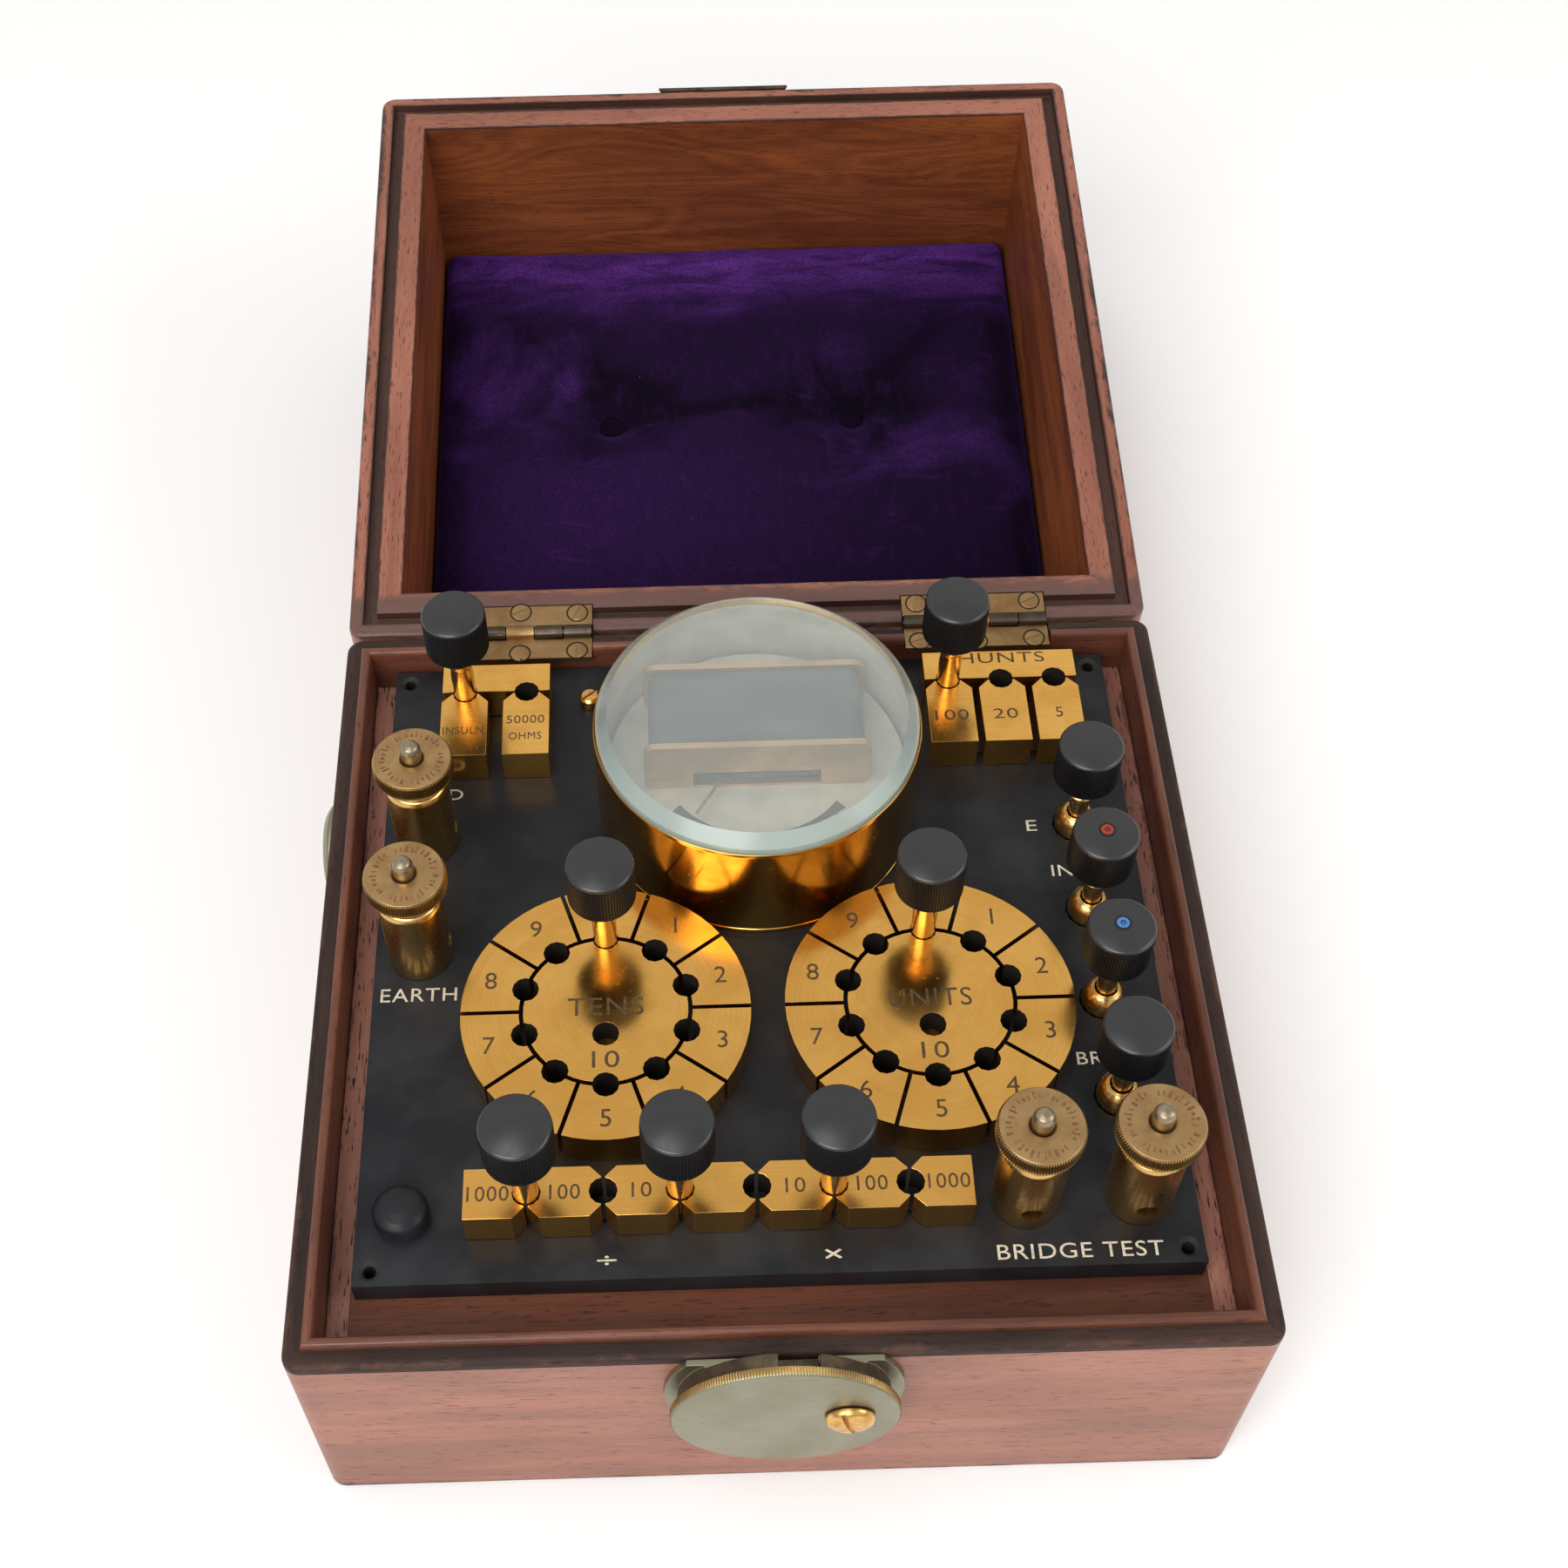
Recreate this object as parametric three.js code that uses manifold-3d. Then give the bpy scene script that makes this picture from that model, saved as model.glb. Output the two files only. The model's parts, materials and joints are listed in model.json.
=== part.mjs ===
// A portable galvanometer testing set in a hinged mahogany case: a needle galvanometer under glass,
// two decade dials, a ratio row, shunt and insulation blocks with taper plugs, four press keys and
// four binding posts on an ebonite panel.
// Millimetres, +Z up, +Y towards the hinges, origin at the centre of the case's underside.
// The lid is built shut, then turned open about its hinge pins.

import * as THREE from 'three';
import { mergeVertices } from 'three/addons/utils/BufferGeometryUtils.js';
import Module from 'manifold-3d';

const wasm = await Module();
wasm.setup();

// ---------------------------------------------------------------- driving dimensions

const SEAT = 0.05; // hair gap between two pieces that rest on each other
const FIT = 0.15; // gap round a piece let into another

const CASE = { width: 190, depth: 181, rim: 64, wall: 6.1, corner: 3.5, bottom: 6 };
const TONGUE = { outset: 3.7, height: 2 };
const LEDGE = { top: 53.65, height: 12, side: 77, front: -66, back: 77 };
const PANEL = { side: 83.4, front: -72.2, back: 83.3, thick: 6, screwInset: 3.3, screw: 1.35, sink: 2.2 };
const DECK = LEDGE.top + SEAT + PANEL.thick; // top face of the ebonite panel
const BLOCK_TOP = DECK + 9; // top face of every brass contact block
const LAID = DECK + SEAT; // underside of a piece laid on the panel

const HINGE = { x: 54, length: 34, leaf: 1.5, knuckle: 1.8, reach: 7.8, bore: 0.85, pin: 0.75 };
const LID = { gap: 0.3, wall: 12.3, board: 9, tilt: 7, groove: { near: 3.3, far: 6.5, deep: 2.6 } };
const PAD = { thick: 10, clear: 0.4 };
const AXIS = { y: CASE.depth / 2 + 0.4, z: CASE.rim + LID.gap / 2 };
const TILT = THREE.MathUtils.degToRad(LID.tilt);
// The open lid leans back until the far edge of its top lies on the table.
const LID_TOP = AXIS.z + (AXIS.z + (AXIS.y - CASE.depth / 2) * Math.sin(TILT)) / Math.cos(TILT);
const LID_RIM = CASE.rim + LID.gap;

const GALV = { y: 42.45, radius: 35.5, wall: 1.7, rim: 88.4, glassTop: 92.4, seat: 86.8 };
const CARD = { top: 70, thick: 1.5, radius: 33 };
const PIVOT = { x: 0, y: 49.2 };
const COIL = { halfX: 23.6, halfY: 10.3, bottom: 70.9, top: 83, slotBottom: 71.9, slotTop: 76.4 };
const NEEDLE = { length: 25.4, angle: 32.3, z: 73.6 };

const HOLE = 2.8; // radius of every plug hole
const HOLE_FACETS = 12;
const DIAL = { x: 33.5, y: -16.6, radius: 30, holeCircle: 17.5, gap: 0.9, steps: 10, tenHole: 5.7 };
const BAR = { back: 77.5, front: 69.4 };
const TAB = { back: 68.9, front: 51, width: 10.6, chamfer: 2.3 };
const LEFT_TABS = [-65.8, -51.7];
const RIGHT_TABS = [45.2, 57.4, 69.6];
const RATIO = { count: 7, pitch: 15, x: -11.5, y: -57.6, depth: 10.8, gap: 0.7, chamfer: 2.3 };
const BASE_STRIP = 1.2; // thin strip under the blocks of one row
const PLUG = { knob: 7.1, top: 28.4, knobLow: 16.4, stem: 2.75, tip: 2.1, collar: 3.2, depth: 7.6 };
const POST = { cap: 8.6, body: 6.9, washer: 6.5, stud: 2.2, shank: 2.4, wire: 2.1, wireHigh: 6 };
const POSTS = { rear_left: [-73.6, 34], mid_left: [-73.6, 4.2], inner: [49.3, -57.4], outer: [71.8, -57.4] };
const KEY = { x: 71, y: 33.8, pitch: 23, count: 4, knob: 7, stem: 2.1, ring: 4.7, ringTop: 5, bore: 2.4 };
const CLAMP = { x: -74, y: -58.5, knob: 5.6, stem: 1.5 };

const LOCK = {
  z: 49.8, plate: 23.3, drum: 20.7, disc: 22.2, pivotX: 12.3, pivotZ: 50.6, slotX: 2.3, slot: 7.8,
};
const STUD = { y: 40, z: 48, radius: 11, proud: 3 };
const COILS = { x: 60, back: 12, front: -46, top: 47, columns: 5, rows: 2, radius: 5, drop: 20 };

const FINISH = {
  mahogany: { color: 0x9c5c40, roughness: 0.55, metalness: 0 },
  mahogany_inner: { color: 0x6e3114, roughness: 0.45, metalness: 0 },
  ebonite: { color: 0x1d1e22, roughness: 0.45, metalness: 0 },
  brass: { color: 0xcf9a45, roughness: 0.28, metalness: 1 },
  lock_brass: { color: 0xa9a57c, roughness: 0.4, metalness: 1 },
  velvet: { color: 0x2c1052, roughness: 1, metalness: 0 },
  glass: { color: 0xdfeee6, roughness: 0.03, metalness: 0, transparent: true, opacity: 0.3 },
  card: { color: 0xd6d2c6, roughness: 0.5, metalness: 0 },
  winding: { color: 0x3b3f45, roughness: 0.8, metalness: 0 },
  steel: { color: 0x4b4f55, roughness: 0.35, metalness: 1 },
};

// ---------------------------------------------------------------- solids

function solid(geometry) {
  const bare = geometry.index ? geometry.toNonIndexed() : geometry.clone();
  bare.deleteAttribute('normal');
  bare.deleteAttribute('uv');
  const welded = mergeVertices(bare, 1e-4);
  return new wasm.Manifold(new wasm.Mesh({
    numProp: 3,
    vertProperties: Float32Array.from(welded.attributes.position.array),
    triVerts: Uint32Array.from(welded.index.array),
  }));
}

function block(x0, x1, y0, y1, z0, z1) {
  const box = new THREE.BoxGeometry(x1 - x0, y1 - y0, z1 - z0);
  return solid(box.translate((x0 + x1) / 2, (y0 + y1) / 2, (z0 + z1) / 2));
}

function rod(x, y, radius, z0, z1, facets = HOLE_FACETS) {
  const bar = new THREE.CylinderGeometry(radius, radius, z1 - z0, facets);
  return solid(bar.rotateX(Math.PI / 2).translate(x, y, (z0 + z1) / 2));
}

// A turned piece: the profile is a list of [radius, height] that starts and ends on the axis.
function turned(profile, facets = 14) {
  const points = profile.map(([radius, height]) => new THREE.Vector2(radius, height));
  return solid(new THREE.LatheGeometry(points, facets).rotateX(Math.PI / 2));
}

function prism(shape, z0, z1, curveSegments = 8) {
  const raised = new THREE.ExtrudeGeometry(shape, { depth: z1 - z0, bevelEnabled: false, curveSegments });
  return solid(raised.translate(0, 0, z0));
}

function polygon(points) {
  return new THREE.Shape(points.map(([x, y]) => new THREE.Vector2(x, y)));
}

function roundedRectangle(halfX, halfY, corner) {
  const shape = new THREE.Shape();
  shape.absarc(halfX - corner, halfY - corner, corner, 0, Math.PI / 2);
  shape.absarc(corner - halfX, halfY - corner, corner, Math.PI / 2, Math.PI);
  shape.absarc(corner - halfX, corner - halfY, corner, Math.PI, 1.5 * Math.PI);
  shape.absarc(halfX - corner, corner - halfY, corner, 1.5 * Math.PI, 2 * Math.PI);
  return shape;
}

function slab(halfX, halfY, corner, z0, z1) {
  return prism(roundedRectangle(halfX, halfY, corner), z0, z1, 4);
}

// A frame of even width: from `near` to `far` in from the outside of the case.
function band(near, far, z0, z1) {
  const halfX = CASE.width / 2;
  const halfY = CASE.depth / 2;
  const outside = slab(halfX - near, halfY - near, Math.max(CASE.corner - near, 0.5), z0, z1);
  const inside = slab(halfX - far, halfY - far, 0.5, z0 - 1, z1 + 1);
  return outside.subtract(inside);
}

function placed(shape, x, y, z = 0) {
  return shape.translate([x, y, z]);
}

// Solids are turned a quarter so that +Z points along +X, or along -Y.
const alongX = (shape) => shape.rotate([0, 90, 0]);
const towardsFront = (shape) => shape.rotate([90, 0, 0]);

function joined(pieces) {
  return pieces.reduce((whole, piece) => whole.add(piece));
}

function cut(body, tools) {
  return tools.reduce((rest, tool) => rest.subtract(tool), body);
}

function part(name, shape, finish, parent, at = [0, 0, 0]) {
  const mesh = shape.getMesh();
  const points = new THREE.BufferGeometry();
  points.setAttribute('position', new THREE.BufferAttribute(mesh.vertProperties, 3));
  points.setIndex(new THREE.BufferAttribute(mesh.triVerts, 1));
  const faceted = points.toNonIndexed();
  faceted.computeVertexNormals();
  const made = new THREE.Mesh(faceted, new THREE.MeshStandardMaterial(FINISH[finish]));
  made.name = name;
  made.position.set(...at);
  parent.add(made);
  return made;
}

// ---------------------------------------------------------------- case

// Wood removed for one hinge: the leaf's housing and the clearance round its knuckles.
function hingePocket(x, up) {
  const half = HINGE.length / 2 + 0.3;
  const back = CASE.depth / 2;
  const leafDeep = HINGE.leaf + LID.gap / 2 + SEAT;
  const knuckleDeep = HINGE.knuckle + 0.4;
  const leaf = block(x - half, x + half, AXIS.y - HINGE.reach - 0.3, back + 5, -leafDeep, 12);
  const knuckles = block(x - half, x + half, AXIS.y - HINGE.knuckle - 0.4, back + 5, -knuckleDeep, 12);
  const pocket = leaf.add(knuckles);
  return placed(up ? pocket : pocket.mirror([0, 0, 1]), 0, 0, AXIS.z);
}

function addCase(root) {
  const halfX = CASE.width / 2;
  const halfY = CASE.depth / 2;
  const pockets = [-HINGE.x, HINGE.x].map((x) => hingePocket(x, true));
  const walls = band(0, CASE.wall, 0, CASE.rim);
  const tongue = band(TONGUE.outset, CASE.wall, CASE.rim - 0.5, CASE.rim + TONGUE.height);
  part('case_frame', cut(walls.add(tongue), pockets), 'mahogany', root);

  const insideX = halfX - CASE.wall - FIT;
  const insideY = halfY - CASE.wall - FIT;
  const bottom = block(-insideX, insideX, -insideY, insideY, 0, CASE.bottom);
  part('case_bottom', bottom, 'mahogany', root);

  const low = LEDGE.top - LEDGE.height;
  const ledge = block(-insideX, insideX, -insideY, insideY, low, LEDGE.top);
  const well = block(-LEDGE.side, LEDGE.side, LEDGE.front, LEDGE.back, low - 1, LEDGE.top + 1);
  part('panel_ledge', ledge.subtract(well), 'mahogany', root);

  const stud = turned([
    [0, 0], [STUD.radius, 0], [STUD.radius, STUD.proud * 0.55],
    [STUD.radius * 0.8, STUD.proud], [0, STUD.proud],
  ]);
  part('strap_stud', stud.rotate([0, -90, 0]), 'lock_brass', root, [-halfX - SEAT, STUD.y, STUD.z]);
}

// ---------------------------------------------------------------- hinges

// One leaf about its pin: knuckles on the X axis at the origin, the plate running towards -Y.
// side is -1 for the leaf under the parting plane and +1 for the one above it.
function hingeLeaf(side, knuckles) {
  const half = HINGE.length / 2;
  const pitch = HINGE.length / 5;
  const near = LID.gap / 2;
  const z0 = side < 0 ? -near - HINGE.leaf : near;
  const plateEnd = -HINGE.knuckle - 0.2;
  const plate = block(-half, half, -HINGE.reach, plateEnd, z0, z0 + HINGE.leaf);
  const barrels = knuckles.map((index) => {
    const x0 = -half + index * pitch + 0.15;
    const x1 = x0 + pitch - 0.3;
    const web = block(x0, x1, plateEnd - 1, 0, z0, z0 + HINGE.leaf);
    return web.add(alongX(rod(0, 0, HINGE.knuckle, x0, x1, 14)));
  });
  const bore = alongX(rod(0, 0, HINGE.bore, -half - 1, half + 1, 14));
  return joined([plate, ...barrels]).subtract(bore);
}

function addHinges(root, lid) {
  const caseLeaf = hingeLeaf(-1, [0, 2, 4]);
  const lidLeaf = hingeLeaf(1, [1, 3]);
  const pin = alongX(rod(0, 0, HINGE.pin, -HINGE.length / 2, HINGE.length / 2, 14));
  for (const [side, x] of [['left', -HINGE.x], ['right', HINGE.x]]) {
    const at = [x, AXIS.y, AXIS.z];
    part(`hinge_case_leaf_${side}`, caseLeaf, 'brass', root, at);
    part(`hinge_pin_${side}`, pin, 'steel', root, at);
    part(`hinge_lid_leaf_${side}`, lidLeaf, 'brass', lid, at);
  }
}

// ---------------------------------------------------------------- lid

function addLid(lid) {
  const halfX = CASE.width / 2;
  const halfY = CASE.depth / 2;
  const underBoard = LID_TOP - LID.board;
  const { near, far, deep } = LID.groove;
  const walls = band(0, LID.wall, LID_RIM, underBoard - SEAT);
  const groove = band(near, far, LID_RIM - 1, LID_RIM + deep);
  const pockets = [-HINGE.x, HINGE.x].map((x) => hingePocket(x, false));
  part('lid_frame', cut(walls, [groove, ...pockets]), 'mahogany', lid);
  part('lid_top', slab(halfX, halfY, CASE.corner, underBoard, LID_TOP), 'mahogany', lid);

  const padX = halfX - LID.wall - PAD.clear;
  const padY = halfY - LID.wall - PAD.clear;
  const padTop = underBoard - PAD.clear / 2;
  part('velvet_pad', slab(padX, padY, 3, padTop - PAD.thick, padTop), 'velvet', lid);

  // The lid's half of the catch: a round segment on the front with a tongue that drops in the slot.
  const belowRim = block(-30, 30, -30, LID_RIM + 0.2 - LOCK.z, -1, 4);
  const plate = rod(0, 0, LOCK.plate, 0, 1.3, 32).subtract(belowRim);
  const halfTongue = LOCK.slot / 2 - 0.7;
  const tongue = block(LOCK.slotX - halfTongue, LOCK.slotX + halfTongue, 18.1, 20.1, 1.1, 3.9);
  const at = [0, -halfY - 0.15, LOCK.z];
  part('lid_catch_plate', towardsFront(plate.add(tongue)), 'lock_brass', lid, at);
}

// ---------------------------------------------------------------- front catch

// The fixed half: a round foot cut off at the rim, and a drum with a slot in its top.
function addCatch(root) {
  const front = -CASE.depth / 2;
  const top = CASE.rim - 0.3 - LOCK.z;
  const foot = rod(0, 0, LOCK.plate, 0, 1.3, 32).subtract(block(-30, 30, top, 30, -1, 4));
  const drumBack = rod(0, 0, LOCK.drum, 1, 2.1, 32).subtract(block(-30, 30, top, 30, -1, 2.1));
  const drum = rod(0, 0, LOCK.drum, 1.9, 4.5, 32);
  const slot = block(LOCK.slotX - LOCK.slot / 2, LOCK.slotX + LOCK.slot / 2, top - 1.4, 30, -1, 9);
  const screwHole = rod(LOCK.pivotX, LOCK.pivotZ - LOCK.z, 1.7, 2.2, 7);
  const boss = cut(joined([foot, drumBack, drum]), [slot, screwHole]);
  part('catch_drum', towardsFront(boss), 'lock_brass', root, [0, front - SEAT, LOCK.z]);

  // The milled disc swings on the off-centre screw.
  const offset = [-LOCK.pivotX, LOCK.z - LOCK.pivotZ];
  const disc = rod(offset[0], offset[1], LOCK.disc, 4.8, 6.9, 40).subtract(rod(0, 0, 1.7, 4, 8));
  const at = [LOCK.pivotX, front - SEAT, LOCK.pivotZ];
  part('catch_disc', towardsFront(disc), 'lock_brass', root, at);

  const screw = turned([
    [0, 2.5], [1.5, 2.5], [1.5, 7.1], [4.9, 7.1], [4.5, 8.3], [3, 9.2], [0, 9.6],
  ]);
  part('catch_screw', towardsFront(screw), 'brass', root, at);
}

// ---------------------------------------------------------------- panel

function keyCentres() {
  return Array.from({ length: KEY.count }, (_, index) => [KEY.x, KEY.y - index * KEY.pitch]);
}

function addPanel(root) {
  const low = DECK - PANEL.thick;
  const sheet = block(-PANEL.side, PANEL.side, PANEL.front, PANEL.back, low, DECK);
  const screwX = PANEL.side - PANEL.screwInset;
  const sunk = DECK - (PANEL.sink - PANEL.screw);
  const screwHole = turned([
    [0, low - 1], [PANEL.screw, low - 1], [PANEL.screw, sunk],
    [PANEL.sink, DECK], [PANEL.sink, DECK + 1], [0, DECK + 1],
  ], 16);
  const holes = [];
  for (const x of [-screwX, screwX]) {
    for (const y of [PANEL.front + PANEL.screwInset, PANEL.back - PANEL.screwInset]) {
      holes.push(placed(screwHole, x, y));
    }
  }
  for (const [x, y] of keyCentres()) holes.push(rod(x, y, KEY.ring + 0.35, low - 1, DECK + 1));
  for (const [x, y] of Object.values(POSTS)) holes.push(rod(x, y, POST.shank + 0.25, low - 1, DECK + 1));
  holes.push(rod(CLAMP.x, CLAMP.y, CLAMP.stem + 0.3, low - 1, DECK + 1));
  part('panel', cut(sheet, holes), 'ebonite', root);
}

// ---------------------------------------------------------------- galvanometer

function addGalvanometer(root) {
  const inner = GALV.radius - GALV.wall;
  const at = [0, GALV.y, 0];
  const shell = rod(0, 0, GALV.radius, LAID, GALV.rim, 40);
  const bore = rod(0, 0, inner, LAID - 1, GALV.seat - 1.2, 40);
  const lip = rod(0, 0, inner - 0.9, GALV.seat - 1.3, GALV.seat + 0.1, 40);
  const rebate = rod(0, 0, GALV.radius - 0.45, GALV.seat, GALV.rim + 1, 40);
  part('galv_drum', cut(shell, [bore, lip, rebate]), 'brass', root, at);

  const glassRadius = GALV.radius - 0.6;
  const glass = turned([
    [0, GALV.seat + SEAT], [glassRadius, GALV.seat + SEAT], [glassRadius, GALV.rim + 1.3],
    [glassRadius - 2.6, GALV.glassTop], [0, GALV.glassTop],
  ], 40);
  part('galv_glass', glass, 'glass', root, at);

  const disc = rod(0, GALV.y, CARD.radius, CARD.top - CARD.thick, CARD.top, 32);
  const pillar = rod(PIVOT.x, PIVOT.y, 6, LAID, CARD.top - CARD.thick + 0.2, 20);
  const point = rod(PIVOT.x, PIVOT.y, 0.5, CARD.top - 0.5, NEEDLE.z - 0.4, 12);
  part('galv_dial_card', joined([disc, pillar, point]), 'card', root);

  // The winding is a flat oblong ring round the magnet; its brass cheeks are slotted for the pointer.
  const { halfX, halfY, bottom, top, slotBottom, slotTop } = COIL;
  const tunnel = block(-17, 17, -30, 30, slotBottom, slotTop);
  const winding = towardsFront(slab(halfX, (top - bottom) / 2, 3.5, -halfY + 0.1, halfY - 0.1));
  const pivotHole = rod(0, 0, 1.5, bottom - 1, slotBottom + 1, 12);
  const coil = cut(placed(winding, 0, 0, (bottom + top) / 2), [tunnel, pivotHole]);
  part('galv_coil', coil, 'winding', root, [PIVOT.x, PIVOT.y, 0]);

  const cheekMiddle = (CARD.top + SEAT + top + 1) / 2;
  const cheekHalf = cheekMiddle - CARD.top - SEAT;
  const cheek = placed(towardsFront(slab(24.7, cheekHalf, 2.6, -0.8, 0.8)), 0, 0, cheekMiddle);
  const pointerSlot = block(-14, 14, -30, 30, bottom, slotTop - 1.2);
  const bridge = [-19, 19].map((x) => {
    return block(x - 2, x + 2, -halfY - 1, halfY + 1, CARD.top + 0.3, bottom - 0.1);
  });
  const cheeks = [-halfY - 0.8, halfY + 0.8].map((y) => placed(cheek, 0, y));
  const frame = joined([...cheeks, ...bridge]).subtract(pointerSlot);
  part('galv_coil_frame', frame, 'brass', root, [PIVOT.x, PIVOT.y, 0]);

  const shaft = NEEDLE.length;
  const pointer = block(-0.3, 0.3, -shaft, 0, -0.2, 0.2);
  const magnet = prism(polygon([[0, -7.5], [1.8, 0], [0, 7.5], [-1.8, 0]]), -0.7, 0.7);
  const cap = rod(0, 0, 1.6, -1.1, 1.5, 12).subtract(rod(0, 0, 1.0, -2, -0.2, 12));
  const cone = cap.add(rod(0, 0, 1.2, 0, 1.5, 12));
  const needle = part('galv_needle', joined([pointer, magnet.subtract(rod(0, 0, 1.4, -2, 2, 12)), cone]),
    'steel', root, [PIVOT.x, PIVOT.y, NEEDLE.z]);
  needle.rotation.z = -THREE.MathUtils.degToRad(NEEDLE.angle);
}

// ---------------------------------------------------------------- contact blocks

// A decade dial: a round hub, a ring of ten segments, and a plug hole on the gap at each segment.
function addDial(root, name, x) {
  const { radius, holeCircle, gap, steps, tenHole } = DIAL;
  const centre = [x, DIAL.y, 0];
  const turn = (2 * Math.PI) / steps;
  const holes = [];
  const slots = [];
  for (let step = 0; step < steps; step += 1) {
    const angle = Math.PI / 2 - step * turn;
    const holeX = holeCircle * Math.cos(angle);
    const holeY = holeCircle * Math.sin(angle);
    holes.push(rod(holeX, holeY, HOLE, LAID - 1, BLOCK_TOP + 1));
    const slot = block(holeCircle - 2, radius + 2, -gap / 2, gap / 2, LAID + BASE_STRIP, BLOCK_TOP + 1);
    slots.push(slot.rotate([0, 0, THREE.MathUtils.radToDeg(angle + turn / 2)]));
  }
  const hub = rod(0, 0, holeCircle - gap / 2, LAID, BLOCK_TOP, 50);
  const lastHole = rod(0, -tenHole, HOLE, LAID + 2, BLOCK_TOP + 1);
  part(`${name}_hub`, cut(hub, [...holes, lastHole]), 'brass', root, centre);

  const ring = rod(0, 0, radius, LAID, BLOCK_TOP, 60);
  const eye = rod(0, 0, holeCircle + gap / 2, LAID - 1, BLOCK_TOP + 1, 50);
  part(`${name}_segments`, cut(ring, [eye, ...holes, ...slots]), 'brass', root, centre);
}

// A contact tab in plan, its two rear corners cut off beside the plug hole.
function tabShape(x) {
  const half = TAB.width / 2;
  const { back, front, chamfer } = TAB;
  return polygon([
    [x - half, front], [x + half, front], [x + half, back - chamfer],
    [x + half - chamfer, back], [x - half + chamfer, back], [x - half, back - chamfer],
  ]);
}

function tabs(centres) {
  const holeY = (BAR.front + TAB.back) / 2;
  const pieces = centres.map((x) => prism(tabShape(x), LAID, BLOCK_TOP));
  const holes = centres.map((x) => rod(x, holeY, HOLE, LAID - 1, BLOCK_TOP + 1));
  return { pieces, holes };
}

function addBar(root, name, centres, holes) {
  const half = TAB.width / 2;
  const bar = block(centres[0] - half, centres.at(-1) + half, BAR.front, BAR.back, LAID, BLOCK_TOP);
  part(name, cut(bar, holes), 'brass', root);
}

function addRearBlocks(root) {
  const left = tabs(LEFT_TABS);
  addBar(root, 'insulation_bar', LEFT_TABS, left.holes);
  part('insulation_block', cut(left.pieces[0], left.holes), 'brass', root);
  part('ohms_block', cut(left.pieces[1], left.holes), 'brass', root);

  const right = tabs(RIGHT_TABS);
  addBar(root, 'shunt_bar', RIGHT_TABS, right.holes);
  const strip = block(RIGHT_TABS[0], RIGHT_TABS[2], TAB.front + 3, TAB.front + 12, LAID, LAID + BASE_STRIP);
  part('shunt_blocks', cut(joined([...right.pieces, strip]), right.holes), 'brass', root);
}

function ratioHoles() {
  return Array.from({ length: RATIO.count - 1 }, (_, index) => {
    return [RATIO.x + (index - (RATIO.count - 2) / 2) * RATIO.pitch, RATIO.y];
  });
}

// Seven blocks in a row with waists between them, and a plug hole in each waist.
function addRatioRow(root) {
  const { count, pitch, x, y, depth, gap, chamfer } = RATIO;
  const half = depth / 2;
  const narrow = pitch / 2 - gap / 2 - chamfer;
  const wide = pitch / 2 - gap / 2;
  const low = y - half;
  const high = y + half;
  const pieces = Array.from({ length: count }, (_, index) => {
    const middle = x + (index - (count - 1) / 2) * pitch;
    const left = index === 0 ? narrow : wide;
    const right = index === count - 1 ? narrow : wide;
    const plan = [
      [middle - narrow, low], [middle + narrow, low], [middle + right, low + chamfer],
      [middle + right, high - chamfer], [middle + narrow, high], [middle - narrow, high],
      [middle - left, high - chamfer], [middle - left, low + chamfer],
    ];
    return prism(polygon(plan), LAID, BLOCK_TOP);
  });
  const reach = ((count - 1) / 2) * pitch;
  const strip = block(x - reach, x + reach, low + 3.2, high - 3.2, LAID, LAID + BASE_STRIP);
  const holes = ratioHoles().map(([holeX, holeY]) => {
    return rod(holeX, holeY, HOLE, LAID + BASE_STRIP, BLOCK_TOP + 1);
  });
  part('ratio_blocks', cut(joined([...pieces, strip]), holes), 'brass', root);
}

// ---------------------------------------------------------------- plugs, posts and keys

// A domed ebonite knob, from its flat underside to its crown.
function knobProfile(radius, low, top) {
  const edge = top - radius * 0.2;
  return [
    [radius, low], [radius, edge - 0.4], [radius - 0.6, edge + 0.2], [radius * 0.5, top - 0.35], [0, top],
  ];
}

function addPlugs(root) {
  const { knob, top, knobLow, stem, tip, collar, depth } = PLUG;
  const plug = turned([
    [0, -depth], [tip, -depth], [stem - 0.2, -0.2], [stem - 0.4, 10], [collar, 11], [collar, 14.6],
    [stem, knobLow], ...knobProfile(knob, knobLow, top),
  ]);
  const tabHoleY = (BAR.front + TAB.back) / 2;
  const ratio = ratioHoles();
  const places = {
    plug_insulation: [LEFT_TABS[0], tabHoleY],
    plug_shunt: [RIGHT_TABS[0], tabHoleY],
    plug_tens: [-DIAL.x, DIAL.y + DIAL.holeCircle],
    plug_units: [DIAL.x, DIAL.y + DIAL.holeCircle],
    plug_ratio_left: ratio[0],
    plug_ratio_middle: ratio[2],
    plug_ratio_right: ratio[4],
  };
  for (const [name, [x, y]] of Object.entries(places)) {
    part(name, plug, 'ebonite', root, [x, y, BLOCK_TOP]);
  }
}

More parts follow.
